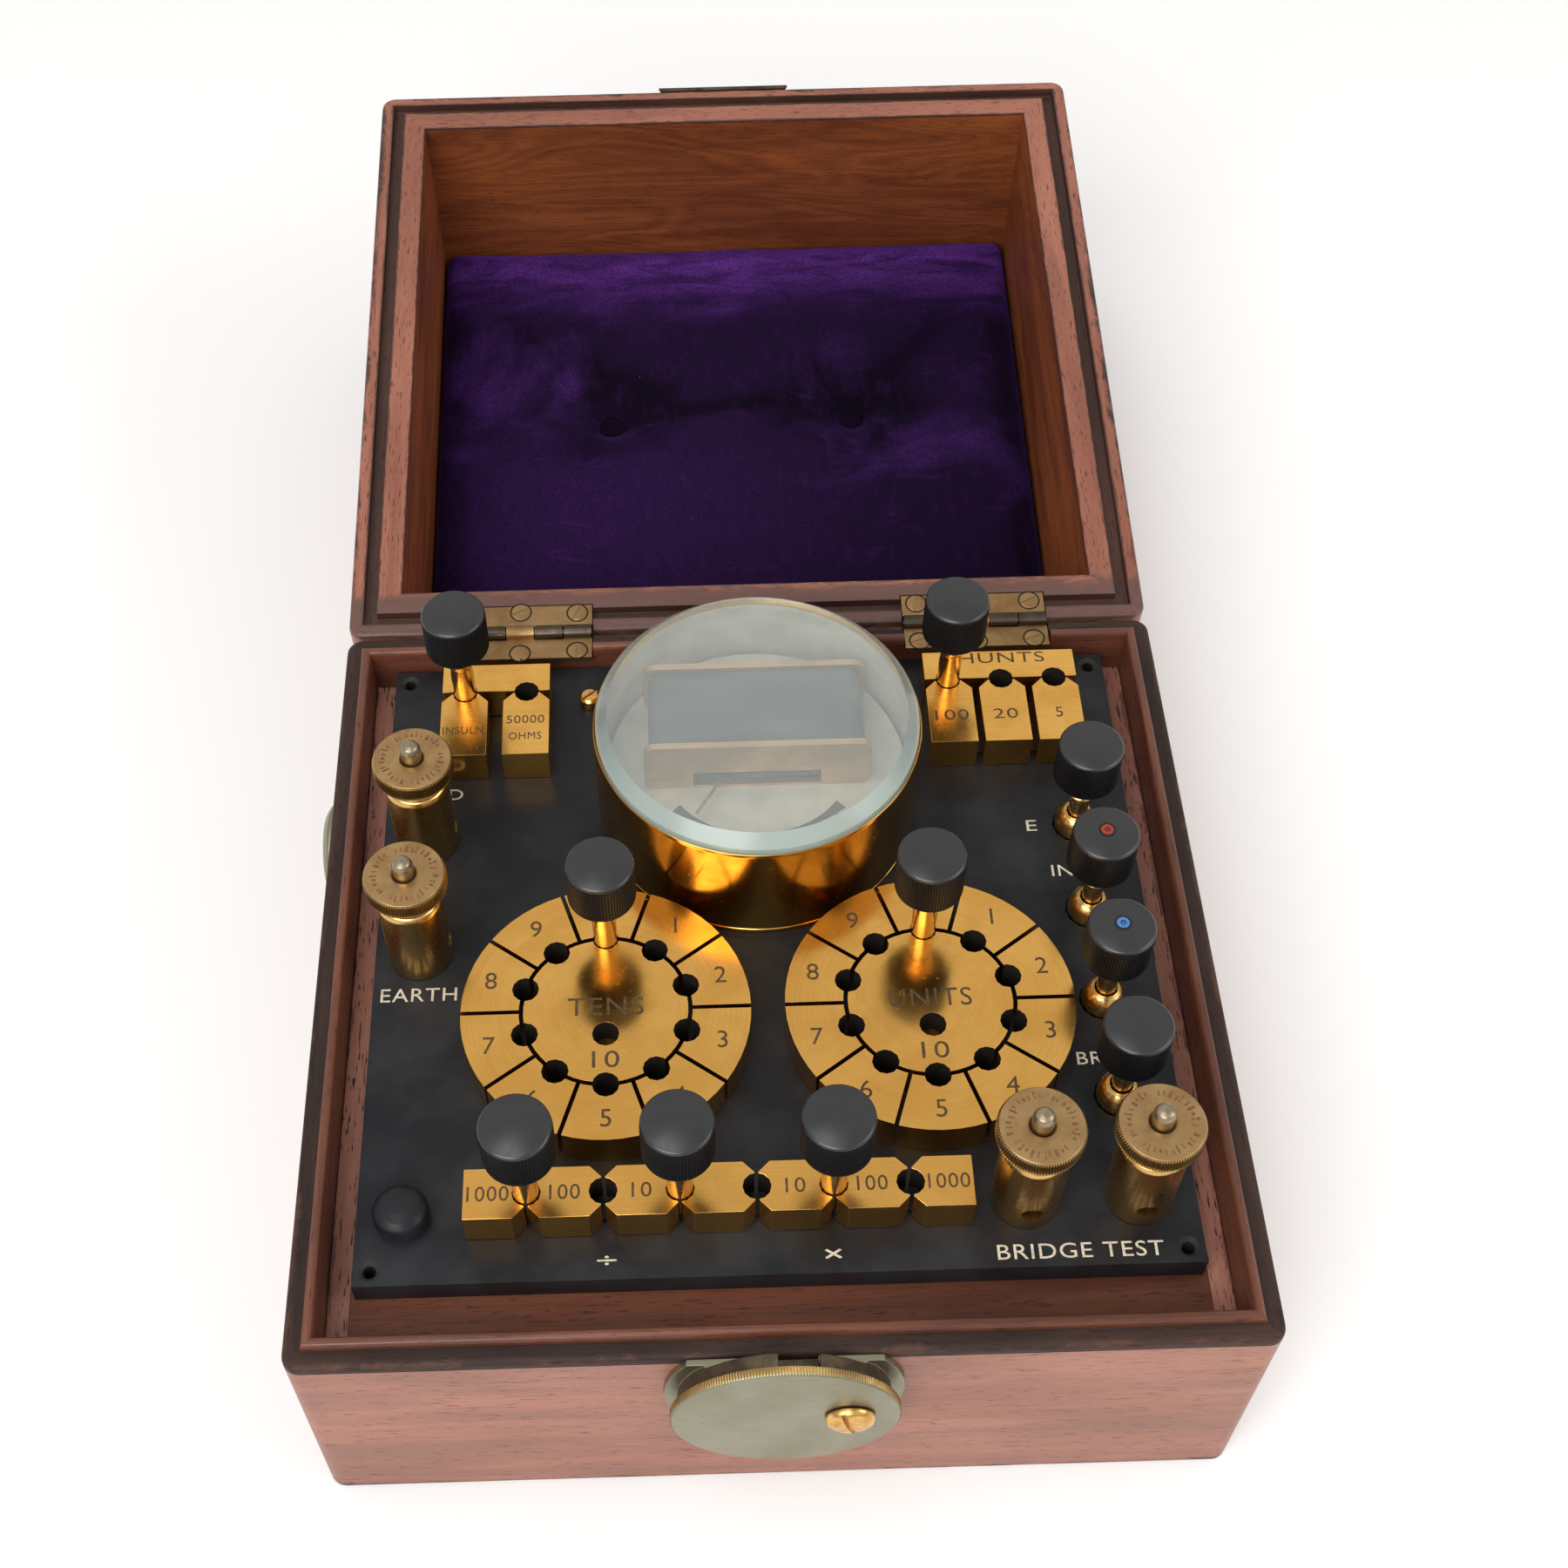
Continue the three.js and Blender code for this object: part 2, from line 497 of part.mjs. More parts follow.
function addPosts(root) {
  const { cap, body, washer, stud, shank, wire, wireHigh } = POST;
  const low = LAID;
  const column = turned([
    [0, low - 12], [shank, low - 12], [shank, low], [body, low], [body, 81.9], [body - 0.6, 82.4],
    [stud, 82.4], [stud, 93], [stud * 0.75, 94.2], [0, 94.6],
  ]);
  // The posts at the left take their wires from the side, the two at the right from the front.
  const wireHole = rod(0, 0, wire, -10, 10);
  const sideways = column.subtract(placed(alongX(wireHole), 0, 0, low + wireHigh));
  const forwards = column.subtract(placed(towardsFront(wireHole), 0, 0, low + wireHigh));
  const ring = turned([
    [0, 82.5], [washer - 0.4, 82.5], [washer, 83], [washer, 83.6], [washer - 0.4, 84.1], [0, 84.1],
  ]).subtract(rod(0, 0, stud + 0.3, 80, 96));
  const nut = turned([
    [0, 84.2], [cap - 1.6, 84.2], [cap, 85.5], [cap, 89.4], [cap - 0.6, 90], [0, 90],
  ], 20).subtract(rod(0, 0, stud + 0.3, 80, 96));
  for (const [name, [x, y]] of Object.entries(POSTS)) {
    part(`post_${name}`, x < 0 ? sideways : forwards, 'brass', root, [x, y, 0]);
    part(`post_washer_${name}`, ring, 'brass', root, [x, y, 0]);
    part(`post_nut_${name}`, nut, 'brass', root, [x, y, 0]);
  }
}

function addKeys(root) {
  const { knob, stem, ring, ringTop, bore } = KEY;
  const plateTop = DECK - PANEL.thick - 0.3;
  const collar = turned([
    [0, plateTop - 2], [ring, plateTop - 2], [ring, DECK + 1.8], [ring * 0.9, DECK + ringTop * 0.68],
    [ring * 0.72, DECK + ringTop * 0.88], [ring * 0.55, DECK + ringTop], [0, DECK + ringTop],
  ]);
  const centres = keyCentres();
  const far = centres.at(-1)[1];
  const plate = block(KEY.x - 5, KEY.x + 5, far - 6, KEY.y + 6, plateTop - 2, plateTop);
  const collars = centres.map(([x, y]) => placed(collar, x, y));
  const bores = centres.map(([x, y]) => rod(x, y, bore, 40, 80));
  part('key_guide_plate', cut(joined([plate, ...collars]), bores), 'brass', root);

  const key = turned([
    [0, DECK - 13], [stem, DECK - 13], [stem, DECK + 17.6], ...knobProfile(knob, DECK + 17.6, DECK + 29.4),
  ]);
  centres.forEach(([x, y], index) => part(`key_${index + 1}`, key, 'ebonite', root, [x, y, 0]));

  const button = turned([
    [0, DECK - 10], [CLAMP.stem, DECK - 10], [CLAMP.stem, DECK + 1.6], [CLAMP.knob - 0.5, DECK + 1.6],
    [CLAMP.knob, DECK + 2.2], [CLAMP.knob, DECK + 4.9], [CLAMP.knob * 0.8, DECK + 6.3], [0, DECK + 7.3],
  ]);
  part('clamp_button', button, 'ebonite', root, [CLAMP.x, CLAMP.y, 0]);
}

// The resistance bobbins hang from a varnished board under the two dials.
function addCoils(root) {
  const { x, back, front, top, columns, rows, radius, drop } = COILS;
  const board = block(-x, x, front, back, top - 4, top);
  const spacers = [-x + 5, x - 5].flatMap((sx) => [front + 5, back - 5].map((sy) => {
    return rod(sx, sy, 2.5, top - 1, DECK - PANEL.thick - SEAT, 12);
  }));
  const bobbins = [];
  for (let column = 0; column < columns; column += 1) {
    for (let row = 0; row < rows; row += 1) {
      const bx = ((column + 0.5) / columns - 0.5) * 2 * x;
      const by = front + ((row + 0.5) / rows) * (back - front);
      bobbins.push(rod(bx, by, radius, top - 4 - drop, top - 3));
    }
  }
  part('resistance_coils', joined([board, ...spacers, ...bobbins]), 'mahogany_inner', root);
}

// ---------------------------------------------------------------- assembly

const instrument = new THREE.Group();
const hingeLine = new THREE.Group();
hingeLine.position.set(0, AXIS.y, AXIS.z);
hingeLine.rotation.x = -(Math.PI - TILT);
const lid = new THREE.Group();
lid.position.set(0, -AXIS.y, -AXIS.z);
hingeLine.add(lid);
instrument.add(hingeLine);

addCase(instrument);
addHinges(instrument, lid);
addLid(lid);
addCatch(instrument);
addPanel(instrument);
addGalvanometer(instrument);
addDial(instrument, 'tens', -DIAL.x);
addDial(instrument, 'units', DIAL.x);
addRearBlocks(instrument);
addRatioRow(instrument);
addPlugs(instrument);
addPosts(instrument);
addKeys(instrument);
addCoils(instrument);

export default instrument;
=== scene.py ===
# A portable galvanometer testing set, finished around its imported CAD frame.
# Lengths are in millimetres and turned to metres by MM. The lid's pieces are made in the shut
# position and turned open about the hinge pins.

import json
import random
from math import atan2, cos, exp, hypot, pi, radians, sin

import bmesh
import bpy
from mathutils import Matrix, Vector, noise


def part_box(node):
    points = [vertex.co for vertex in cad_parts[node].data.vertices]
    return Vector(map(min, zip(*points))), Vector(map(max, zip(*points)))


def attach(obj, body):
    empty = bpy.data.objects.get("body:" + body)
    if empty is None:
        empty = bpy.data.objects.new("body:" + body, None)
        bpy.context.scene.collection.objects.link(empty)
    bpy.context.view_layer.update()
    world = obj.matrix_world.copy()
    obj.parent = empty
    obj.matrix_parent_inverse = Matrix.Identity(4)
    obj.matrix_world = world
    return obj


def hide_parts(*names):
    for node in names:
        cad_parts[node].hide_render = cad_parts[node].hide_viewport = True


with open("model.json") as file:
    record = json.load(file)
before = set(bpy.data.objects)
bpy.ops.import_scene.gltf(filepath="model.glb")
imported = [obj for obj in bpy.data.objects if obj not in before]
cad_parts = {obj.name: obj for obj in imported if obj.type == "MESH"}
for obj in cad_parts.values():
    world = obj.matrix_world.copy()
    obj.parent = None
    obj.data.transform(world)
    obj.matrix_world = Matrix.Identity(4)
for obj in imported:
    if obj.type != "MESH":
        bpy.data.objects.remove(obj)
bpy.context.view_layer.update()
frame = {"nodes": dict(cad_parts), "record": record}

MM = 0.001
NODES = frame["nodes"]
RECORD = frame["record"]
BODY_OF = {node: body for body, members in RECORD["behaviour"]["bodies"].items() for node in members}
SLOT_OF = {row["node"]: row["material_slot"] for row in RECORD["subparts"]}


def node_box(node):
    low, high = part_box(node)
    return low / MM, high / MM


def node_middle(node):
    low, high = node_box(node)
    return (low + high) / 2


HALF_X, HALF_Y = 95, 90.5
RIM = 64
DECK = node_box("panel")[1].z
LAID = DECK + 0.05
BLOCK_TOP = node_box("tens_hub")[1].z
PIN = node_middle("hinge_pin_left")
TILT = radians(7)
LID_OPEN = (
    Matrix.Translation((0, PIN.y * MM, PIN.z * MM))
    @ Matrix.Rotation(TILT - pi, 4, "X")
    @ Matrix.Translation((0, -PIN.y * MM, -PIN.z * MM))
)
SHUT = Matrix.Identity(4)

# ---- shader building


class Value:
    """A number, vector or colour that varies over a surface. Sums of these become shader nodes."""

    def __init__(self, paint, socket):
        self.paint = paint
        self.socket = socket

    def __add__(self, other):
        return self.paint.sums("ADD", self, other)

    def __sub__(self, other):
        return self.paint.sums("SUBTRACT", self, other)

    def __rsub__(self, other):
        return self.paint.sums("SUBTRACT", other, self)

    def __mul__(self, other):
        return self.paint.sums("MULTIPLY", self, other)

    def __abs__(self):
        return self.paint.sums("ABSOLUTE", self)


FINISHES = {}


class Paint:
    """A node material: colours are linear RGB, lengths are in millimetres."""

    def __init__(self, name, colour, **sockets):
        material = FINISHES[name] = bpy.data.materials.new(name)
        material.use_nodes = True
        self.tree = material.node_tree
        self.shader = self.tree.nodes["Principled BSDF"]
        for key, value in sockets.items():
            self.shader.inputs[key.replace("_", " ")].default_value = value
        self.place = Value(self, self.tree.nodes.new("ShaderNodeTexCoord").outputs["Object"])
        self.colour = colour

    def feed(self, socket, value):
        if isinstance(value, Value):
            self.tree.links.new(value.socket, socket)
        else:
            socket.default_value = value

    def made(self, kind, values, **settings):
        """The first output of a new node with its first inputs fed."""
        node = self.tree.nodes.new(kind)
        for key, setting in settings.items():
            setattr(node, key, setting)
        for socket, value in zip(node.inputs, values):
            self.feed(socket, value)
        return Value(self, node.outputs[0])

    def sums(self, operation, *values, clamp=False):
        return self.made("ShaderNodeMath", values, operation=operation, use_clamp=clamp)

    def joined(self, *values):
        return self.made("ShaderNodeCombineXYZ", values)

    def axes(self):
        node = self.tree.nodes.new("ShaderNodeSeparateXYZ")
        self.feed(node.inputs[0], self.place)
        return [self.sums("DIVIDE", Value(self, out), MM) for out in node.outputs]

    def cloud(self, detail, size, rough=0.55, warp=0, over=(1, 1, 1)):
        """Noise with lumps of a size, over a vector or over the surface stretched by three factors."""
        if not isinstance(over, Value):
            factors = [factor / MM for factor in over]
            over = self.made("ShaderNodeVectorMath", (self.place, factors), operation="MULTIPLY")
        node = self.tree.nodes.new("ShaderNodeTexNoise")
        keys = ("Vector", "Scale", "Detail", "Roughness", "Distortion")
        for key, value in zip(keys, (over, 1 / size, detail, rough, warp)):
            self.feed(node.inputs[key], value)
        return Value(self, node.outputs["Fac"])

    def step(self, value, low, high, to_low=0, to_high=1):
        numbers = (value, low, high, to_low, to_high)
        return self.made("ShaderNodeMapRange", numbers, interpolation_type="SMOOTHSTEP")

    def mix(self, share, tint):
        node = self.tree.nodes.new("ShaderNodeMix")
        node.data_type = "RGBA"
        self.feed(node.inputs["Factor"], share)
        for socket, value in zip([i for i in node.inputs if i.type == "RGBA"], (self.colour, tint)):
            self.feed(socket, value if isinstance(value, Value) else (*value, 1))
        self.colour = Value(self, [out for out in node.outputs if out.type == "RGBA"][0])

    def lay(self, tint, value, low, high, share=1, first=0):
        """Lays a tint over the colour: first of it where value is low and share of it where it is high."""
        mask = self.step(value, low, high, first, share)
        self.mix(mask, tint)
        return mask

    def done(self, rough=None, height=None, depth=0, strength=0.5):
        """Feeds the shader the colour, a roughness and a relief."""
        self.feed(self.shader.inputs["Base Color"], self.colour)
        if rough is not None:
            self.feed(self.shader.inputs["Roughness"], rough)
        if height is not None:
            bump = self.tree.nodes.new("ShaderNodeBump")
            for key, value in (("Strength", strength), ("Distance", depth * MM), ("Height", height)):
                self.feed(bump.inputs[key], value)
            self.tree.links.new(bump.outputs["Normal"], self.shader.inputs["Normal"])


def wood(name, light, dark, pore, box, stain=(0.03, 0.008, 0.005), stain_width=2.2, stain_share=0.9,
         gloss=(0.42, 0.6), coat=0, boards="mitred", band_size=9, pore_share=0.6, wear=0.35,
         dark_lines=(), hinge_side=None, figure=0, shine=0.4):
    """Mahogany with its grain along each board. box is the two corners of the framed shape."""
    paint = Paint(name, dark, Coat_Weight=coat, Coat_Roughness=0.18, Specular_IOR_Level=shine)
    x, y, z = place = paint.axes()
    gaps = [
        paint.sums("MAXIMUM", (high - low) / 2 - abs(value - (low + high) / 2), 0)
        for value, low, high in zip(place, *box)
    ]
    along, across = (y, x) if boards == "along_y" else (x, y)
    if boards == "mitred":
        turned = paint.sums("LESS_THAN", gaps[0], gaps[1])
        along, across = y * turned + x * (1 - turned), x * turned + y * (1 - turned)

    def grain(a, b, shift):
        pairs = zip((along, across, z), (a, b, 1))
        return paint.joined(*(paint.sums("MULTIPLY_ADD", value, factor, shift) for value, factor in pairs))

    bands = paint.cloud(5, band_size, 0.6, 0.6, grain(0.1, 1, 0))
    fibres = paint.cloud(3, 0.55, 0.7, over=grain(0.03, 1, 7))
    pores = paint.cloud(2, 0.42, 0.5, over=grain(0.12, 1, 31))
    mottle = paint.cloud(3, 38, over=grain(0.5, 1, 13))
    dents = paint.cloud(5, 5, 0.7, 1.5, grain(0.35, 1, 51))

    tone = bands * 0.75 + mottle * 0.45
    if figure:
        swirl = paint.cloud(2, 24, 0.5, 0.9, grain(0.22, 0.8, 77))
        tone = tone + paint.sums("SINE", swirl * 85) * figure
    paint.lay(light, tone, 0.42, 0.8)
    paint.lay([c * 0.62 for c in dark], fibres, 0.5, 0.75, 0.5)
    pore_mask = paint.lay(pore, pores, 0.6, 0.68, pore_share)
    paint.lay(stain, dents, 0.69, 0.74, wear)
    nearest = paint.sums("MINIMUM", gaps[1] + gaps[2], gaps[0] + gaps[2])
    edge = paint.sums("MINIMUM", gaps[0] + gaps[1], nearest) + (mottle - 0.5) * 3 + (dents - 0.5) * 6
    paint.lay(stain, edge, 0, stain_width, 0, stain_share)
    inset = paint.sums("MINIMUM", gaps[0], gaps[1]) + (dents - 0.5) * 1.6
    for distance, width in dark_lines:
        paint.lay(stain, abs(inset - distance), 0, width, 0, 0.85)
    if hinge_side:
        edge_y, tint = hinge_side
        paint.lay(tint, y + (dents - 0.5) * 8, edge_y, edge_y + 3, 0.8)
    rough = paint.step(bands, 0.3, 0.7, *gloss) + pore_mask * 0.2
    paint.done(rough, fibres * 0.35 - pore_mask, 0.06)


def ebonite(name, base, bloom_and_sheen, gloss=(0.34, 0.46), shine=0.3, dust=0.28):
    """Hard black rubber: a soft sheen, greyer where it has aged, with faint dust and hairlines. On the knob
    tops the greyer bloom is also a painted highlight.
    """
    paint = Paint(name, base, Specular_IOR_Level=shine)
    wide = paint.cloud(4, 16)
    fine = paint.cloud(2, 0.35, 0.7)
    lines = paint.cloud(3, 0.8, over=(0.05, 1, 1))
    paint.lay(bloom_and_sheen, wide, 0.35, 0.75, 0.55)
    paint.lay((0.2, 0.19, 0.17), fine, 0.76, 0.82, dust)
    rough = paint.step(wide, 0.3, 0.7, *gloss) + paint.step(lines, 0.5, 0.8, 0, 0.12)
    paint.done(rough, fine + lines, 0.012)


def brass(name, base, deep, spot, gloss=(0.22, 0.36), brush=(0.04, 1, 1), spots=0.5, cloud_size=14,
          brush_depth=0.006, centre=None):
    """Lacquered brass: brushed, mottled where the lacquer is thin, and spotted where it has gone."""
    paint = Paint(name, base, Metallic=1)
    wide = paint.cloud(5, cloud_size, 0.6, 0.4)
    if centre:
        x, y, z = paint.axes()
        off_x, off_y = abs(x) - centre[0], y - centre[1]
        reach = paint.sums("SQRT", off_x * off_x + off_y * off_y)
        turned = paint.joined(reach, paint.sums("ARCTAN2", off_y, off_x) * 0.6)
        streak = paint.cloud(3, 0.5, 0.7, over=turned)
    else:
        streak = paint.cloud(3, 0.45, 0.7, over=brush)
    fine = paint.cloud(3, 1.6, 0.65, 0.5)
    paint.lay(deep, wide, 0.32, 0.68)
    paint.lay([c * 0.72 for c in deep], streak, 0.35, 0.8, 0.28)
    paint.lay(spot, fine, 0.66, 0.76, spots)
    rough = paint.step(wide, 0.3, 0.7, *gloss) + paint.step(fine, 0.6, 0.8, 0, 0.18)
    paint.done(rough, streak + fine * 0.5, brush_depth, 0.6)


def velvet():
    """Deep purple pile, brushed light and dark, with painted highlights: paler along its far edge, round its
    crown and in a patch towards the left.
    """
    paint = Paint("velvet", (0.0034, 0.0014, 0.0054), Roughness=0.95, Specular_IOR_Level=0.06,
                  Sheen_Weight=0.16, Sheen_Roughness=0.4, Sheen_Tint=(0.35, 0.12, 0.8, 1))
    brushed = paint.cloud(5, 40, 0.62, 0.5, (0.8, 1, 1))
    streaks = paint.cloud(5, 11, 0.65, 0.9, (0.4, 1.4, 1))
    pile = paint.cloud(3, 0.9, 0.8)
    weave = paint.cloud(2, 2.2, 0.6, over=(1, 0.25, 1))
    lint = paint.cloud(1, 0.9, 0.4)
    x, y, z = paint.axes()
    # A painted highlight: a paler band along the far edge of the pad, broken up by the streaks.
    far_edge_highlight = paint.step(y + (brushed - 0.5) * 30, -44, -74) * paint.step(streaks, 0.34, 0.62, 0.25, 0.85)
    wander = (brushed - 0.5) * 90
    left, down = x + wander, y + wander
    # A painted pool of light: paler towards the left of the pad.
    left_light_patch = paint.step(left, 45, -55) * paint.step(down, -30, 10)
    left_light_patch = left_light_patch * paint.step(down, 80, 20, 0, 0.1)
    # A painted highlight: the raised crown of the pad is paler.
    raised = paint.step(z, 108.6, 110.4, 0.07, 0)
    light = paint.step(brushed, 0.5, 0.76, 0, 0.3) + paint.step(streaks, 0.58, 0.8, 0, 0.22)
    light = light + paint.step(weave, 0.5, 0.8, 0, 0.06) + left_light_patch
    paint.mix(paint.sums("ADD", light, raised + far_edge_highlight, clamp=True), (0.11, 0.029, 0.24))
    paint.lay((0.0032, 0.0014, 0.0055), pile, 0.42, 0.72, 0.65)
    paint.lay((0.35, 0.3, 0.42), lint, 0.83, 0.86, 0.45)
    paint.done(None, pile + streaks * 0.6, 0.3, 0.9)


def glass(name, back, front, ground=0, haze_and_painted_veil=0.065):
    """Thick clear glass that lets the lamps reach what is under it; ground roughens a cut edge."""
    # The haze share of pale diffuse colour is partly a dust film and partly a painted reflection: the pale
    # veil over the glass.
    paint = Paint(name, back, Transmission_Weight=1 - haze_and_painted_veil, IOR=1.5, Roughness=ground,
                  Specular_IOR_Level=0.55)
    smear = paint.cloud(3, 18)
    x, y, z = paint.axes()
    # The front half takes the front colour; on the bevel ring this is painted light, paler and greener at the
    # near side than at the back.
    paint.lay(front, y, 2, -30)
    paint.lay([c * 0.8 for c in back], smear, 0.35, 0.7, 0.12)
    nodes, links = paint.tree.nodes, paint.tree.links
    clear = nodes.new("ShaderNodeBsdfTransparent")
    clear.inputs["Color"].default_value = (0.93, 0.97, 0.95, 1)
    either = nodes.new("ShaderNodeMixShader")
    links.new(nodes.new("ShaderNodeLightPath").outputs["Is Shadow Ray"], either.inputs[0])
    links.new(paint.shader.outputs[0], either.inputs[1])
    links.new(clear.outputs[0], either.inputs[2])
    links.new(either.outputs[0], nodes["Material Output"].inputs["Surface"])
    paint.done()


def silvered():
    paint = Paint("silvered_dial", (0.43, 0.39, 0.345), Metallic=0.35)
    streak = paint.cloud(3, 0.4, over=(0.05, 1, 1))
    wide = paint.cloud(4, 11)
    paint.lay((0.33, 0.295, 0.25), wide, 0.35, 0.7)
    paint.lay((0.27, 0.25, 0.21), streak, 0.4, 0.8, 0.3)
    paint.done(paint.step(wide, 0.3, 0.7, 0.38, 0.5), streak, 0.004)


def winding():
    """Silk-covered wire, wound side by side along X."""
    paint = Paint("silk_winding", (0.026, 0.029, 0.034), Specular_IOR_Level=0.25)
    x, y, z = paint.axes()
    turns = paint.sums("SINE", y * (2 * pi / 0.42))
    wander = paint.cloud(2, 6, over=(0.2, 1, 1))
    paint.lay((0.058, 0.062, 0.07), wander, 0.35, 0.7)
    # The dark lines between the turns are painted shade in the crevices between the wires.
    paint.lay((0.012, 0.013, 0.017), turns, -1, -0.3, 0, 0.25)
    paint.done(paint.step(wander, 0.3, 0.7, 0.5, 0.8), turns, 0.006, 0.3)


def steel(name, base=(0.16, 0.17, 0.19), rust=(0.05, 0.03, 0.02)):
    paint = Paint(name, base, Metallic=1)
    wide = paint.cloud(5, 1.6, 0.7)
    paint.lay(rust, wide, 0.4, 0.7)
    paint.done(paint.step(wide, 0.3, 0.7, 0.28, 0.55), wide, 0.02)


def filling(name, base, worn, gloss=0.6, shine=0.3):
    """Wax or paint pressed into engraved letters."""
    paint = Paint(name, base, Specular_IOR_Level=shine)
    fine = paint.cloud(3, 0.7, 0.7)
    paint.lay(worn, fine, 0.4, 0.7)
    paint.done(paint.step(fine, 0.3, 0.7, gloss, gloss + 0.2))


CASE_BOX = ((-HALF_X, -HALF_Y, 0), (HALF_X, HALF_Y, RIM))
LID_RIM = RIM + 0.3
LID_BOX = ((-HALF_X, -HALF_Y, LID_RIM), (HALF_X, HALF_Y, 128.8))
LEDGE_BOX = node_box("panel_ledge")

BLACKENED = (0.02, 0.012, 0.01)
PINK = dict(light=(0.385, 0.165, 0.11), dark=(0.225, 0.083, 0.052), pore=(0.06, 0.02, 0.014), coat=0.1,
            stain=BLACKENED)
PLAIN = dict(stain_width=1.6, pore_share=0.5, wear=0.8)
wood("case_mahogany", **PINK, box=CASE_BOX, **PLAIN)
wood("lid_mahogany", **PINK, box=LID_BOX)
wood("lid_board_mahogany", **PINK, box=LID_BOX, **PLAIN, boards="along_x", band_size=14)
wood("case_rim_wood", (0.06, 0.03, 0.022), (0.018, 0.011, 0.009), (0.012, 0.006, 0.005), CASE_BOX,
    stain=(0.14, 0.06, 0.038), stain_width=0.9, stain_share=0.35, gloss=(0.45, 0.6), shine=0.2)
wood("case_bead_wood", (0.2, 0.066, 0.034), (0.08, 0.026, 0.015), (0.03, 0.008, 0.006), CASE_BOX,
    stain_share=0, gloss=(0.26, 0.4), coat=0.25, shine=0.3)
wood("lid_rim_wood", (0.36, 0.135, 0.086), (0.22, 0.072, 0.043), (0.03, 0.01, 0.008), LID_BOX,
    stain=BLACKENED, stain_width=1.5, stain_share=0.95, gloss=(0.34, 0.5), coat=0.1, pore_share=0.8,
    dark_lines=((3.3, 0.7), (6.5, 0.5), (12.3, 0.6)), hinge_side=(77.5, (0.082, 0.046, 0.04)))
wood("groove_wood", (0.1, 0.04, 0.026), (0.045, 0.018, 0.012), (0.012, 0.006, 0.005), LID_BOX,
    stain_share=0, gloss=(0.5, 0.65))
wood("case_inner_wood", (0.17, 0.056, 0.03), (0.07, 0.02, 0.012), (0.02, 0.006, 0.004), CASE_BOX,
    stain_share=0, gloss=(0.35, 0.5))
wood("lid_inner_wood", (0.3, 0.082, 0.022), (0.135, 0.034, 0.011), (0.03, 0.008, 0.004), LID_BOX,
    stain_share=0, gloss=(0.42, 0.55), coat=0.05, shine=0.3, band_size=13, pore_share=0.5, wear=0.15,
    figure=0.045)
wood("ledge_wood", (0.4, 0.17, 0.115), (0.22, 0.085, 0.058), (0.022, 0.008, 0.006), LEDGE_BOX,
    stain_width=0.5, stain_share=0.6, pore_share=0.95, boards="along_y")
wood("ledge_front_wood", (0.155, 0.048, 0.022), (0.075, 0.021, 0.011), (0.025, 0.008, 0.006), LEDGE_BOX,
    stain_share=0.3, boards="along_x", coat=0.08, shine=0.25)
wood("varnished_board", (0.2, 0.075, 0.03), (0.1, 0.035, 0.015), (0.03, 0.01, 0.006), CASE_BOX,
    stain_share=0, boards="along_x")
ebonite("ebonite", (0.008, 0.0088, 0.011), (0.034, 0.036, 0.04), shine=0.23)
# The knob tops take a greyer ebonite than the ribbed skirts: aged bloom and a painted highlight on the tops.
ebonite("knob_ebonite", (0.012, 0.0125, 0.014), (0.03, 0.031, 0.034), gloss=(0.24, 0.34), shine=0.62,
    dust=0.12)
ebonite("skirt_ebonite", (0.007, 0.007, 0.008), (0.015, 0.015, 0.016), gloss=(0.45, 0.6), shine=0.16,
    dust=0.1)
ebonite("dusty_ebonite", (0.025, 0.024, 0.022), (0.055, 0.052, 0.046), gloss=(0.6, 0.75), shine=0.15,
    dust=0.6)
GOLD, AMBER, DARK_SPOT = (0.9, 0.5, 0.125), (0.78, 0.405, 0.088), (0.16, 0.055, 0.012)
DIAL_X, DIAL_Y = 33.5, -16.6
brass("lacquered_brass", GOLD, AMBER, DARK_SPOT, gloss=(0.19, 0.28), spots=0.18)
brass("turned_dial_brass", GOLD, AMBER, DARK_SPOT, gloss=(0.14, 0.22), brush_depth=0.004, spots=0.2,
    centre=(DIAL_X, DIAL_Y))
brass("turned_brass", (0.76, 0.5, 0.19), (0.6, 0.36, 0.12), (0.14, 0.06, 0.02), gloss=(0.22, 0.3),
    brush=(0.3, 0.3, 1), cloud_size=12, brush_depth=0.0004, spots=0.08)
brass("drum_brass", (0.7, 0.415, 0.095), (0.5, 0.25, 0.048), (0.15, 0.06, 0.012), gloss=(0.14, 0.24),
    brush=(0.3, 0.3, 1), spots=0.3, cloud_size=22, brush_depth=0.002)
brass("cap_brass", (0.5, 0.325, 0.15), (0.37, 0.225, 0.095), (0.17, 0.08, 0.03), gloss=(0.32, 0.44),
    brush=(1, 0.1, 1), cloud_size=5, brush_depth=0.003)
brass("hinge_brass", (0.42, 0.27, 0.12), (0.27, 0.155, 0.066), (0.08, 0.04, 0.022), gloss=(0.36, 0.5),
    spots=0.45, cloud_size=9, brush_depth=0.005)
brass("dull_brass", (0.3, 0.29, 0.205), (0.255, 0.24, 0.16), (0.15, 0.13, 0.09), gloss=(0.34, 0.44),
    spots=0.25, cloud_size=20, brush_depth=0.003)
brass("milled_brass", (0.42, 0.28, 0.11), (0.27, 0.18, 0.07), (0.08, 0.05, 0.02), gloss=(0.3, 0.42),
    spots=0.4, cloud_size=6, brush_depth=0.004)
brass("lock_dark_brass", (0.15, 0.115, 0.072), (0.07, 0.052, 0.036), (0.03, 0.02, 0.012), gloss=(0.4, 0.6),
    cloud_size=5)
brass("cheek_brass", (0.62, 0.385, 0.205), (0.42, 0.255, 0.13), (0.2, 0.11, 0.05), gloss=(0.36, 0.5),
    brush_depth=0.003, spots=0.2)
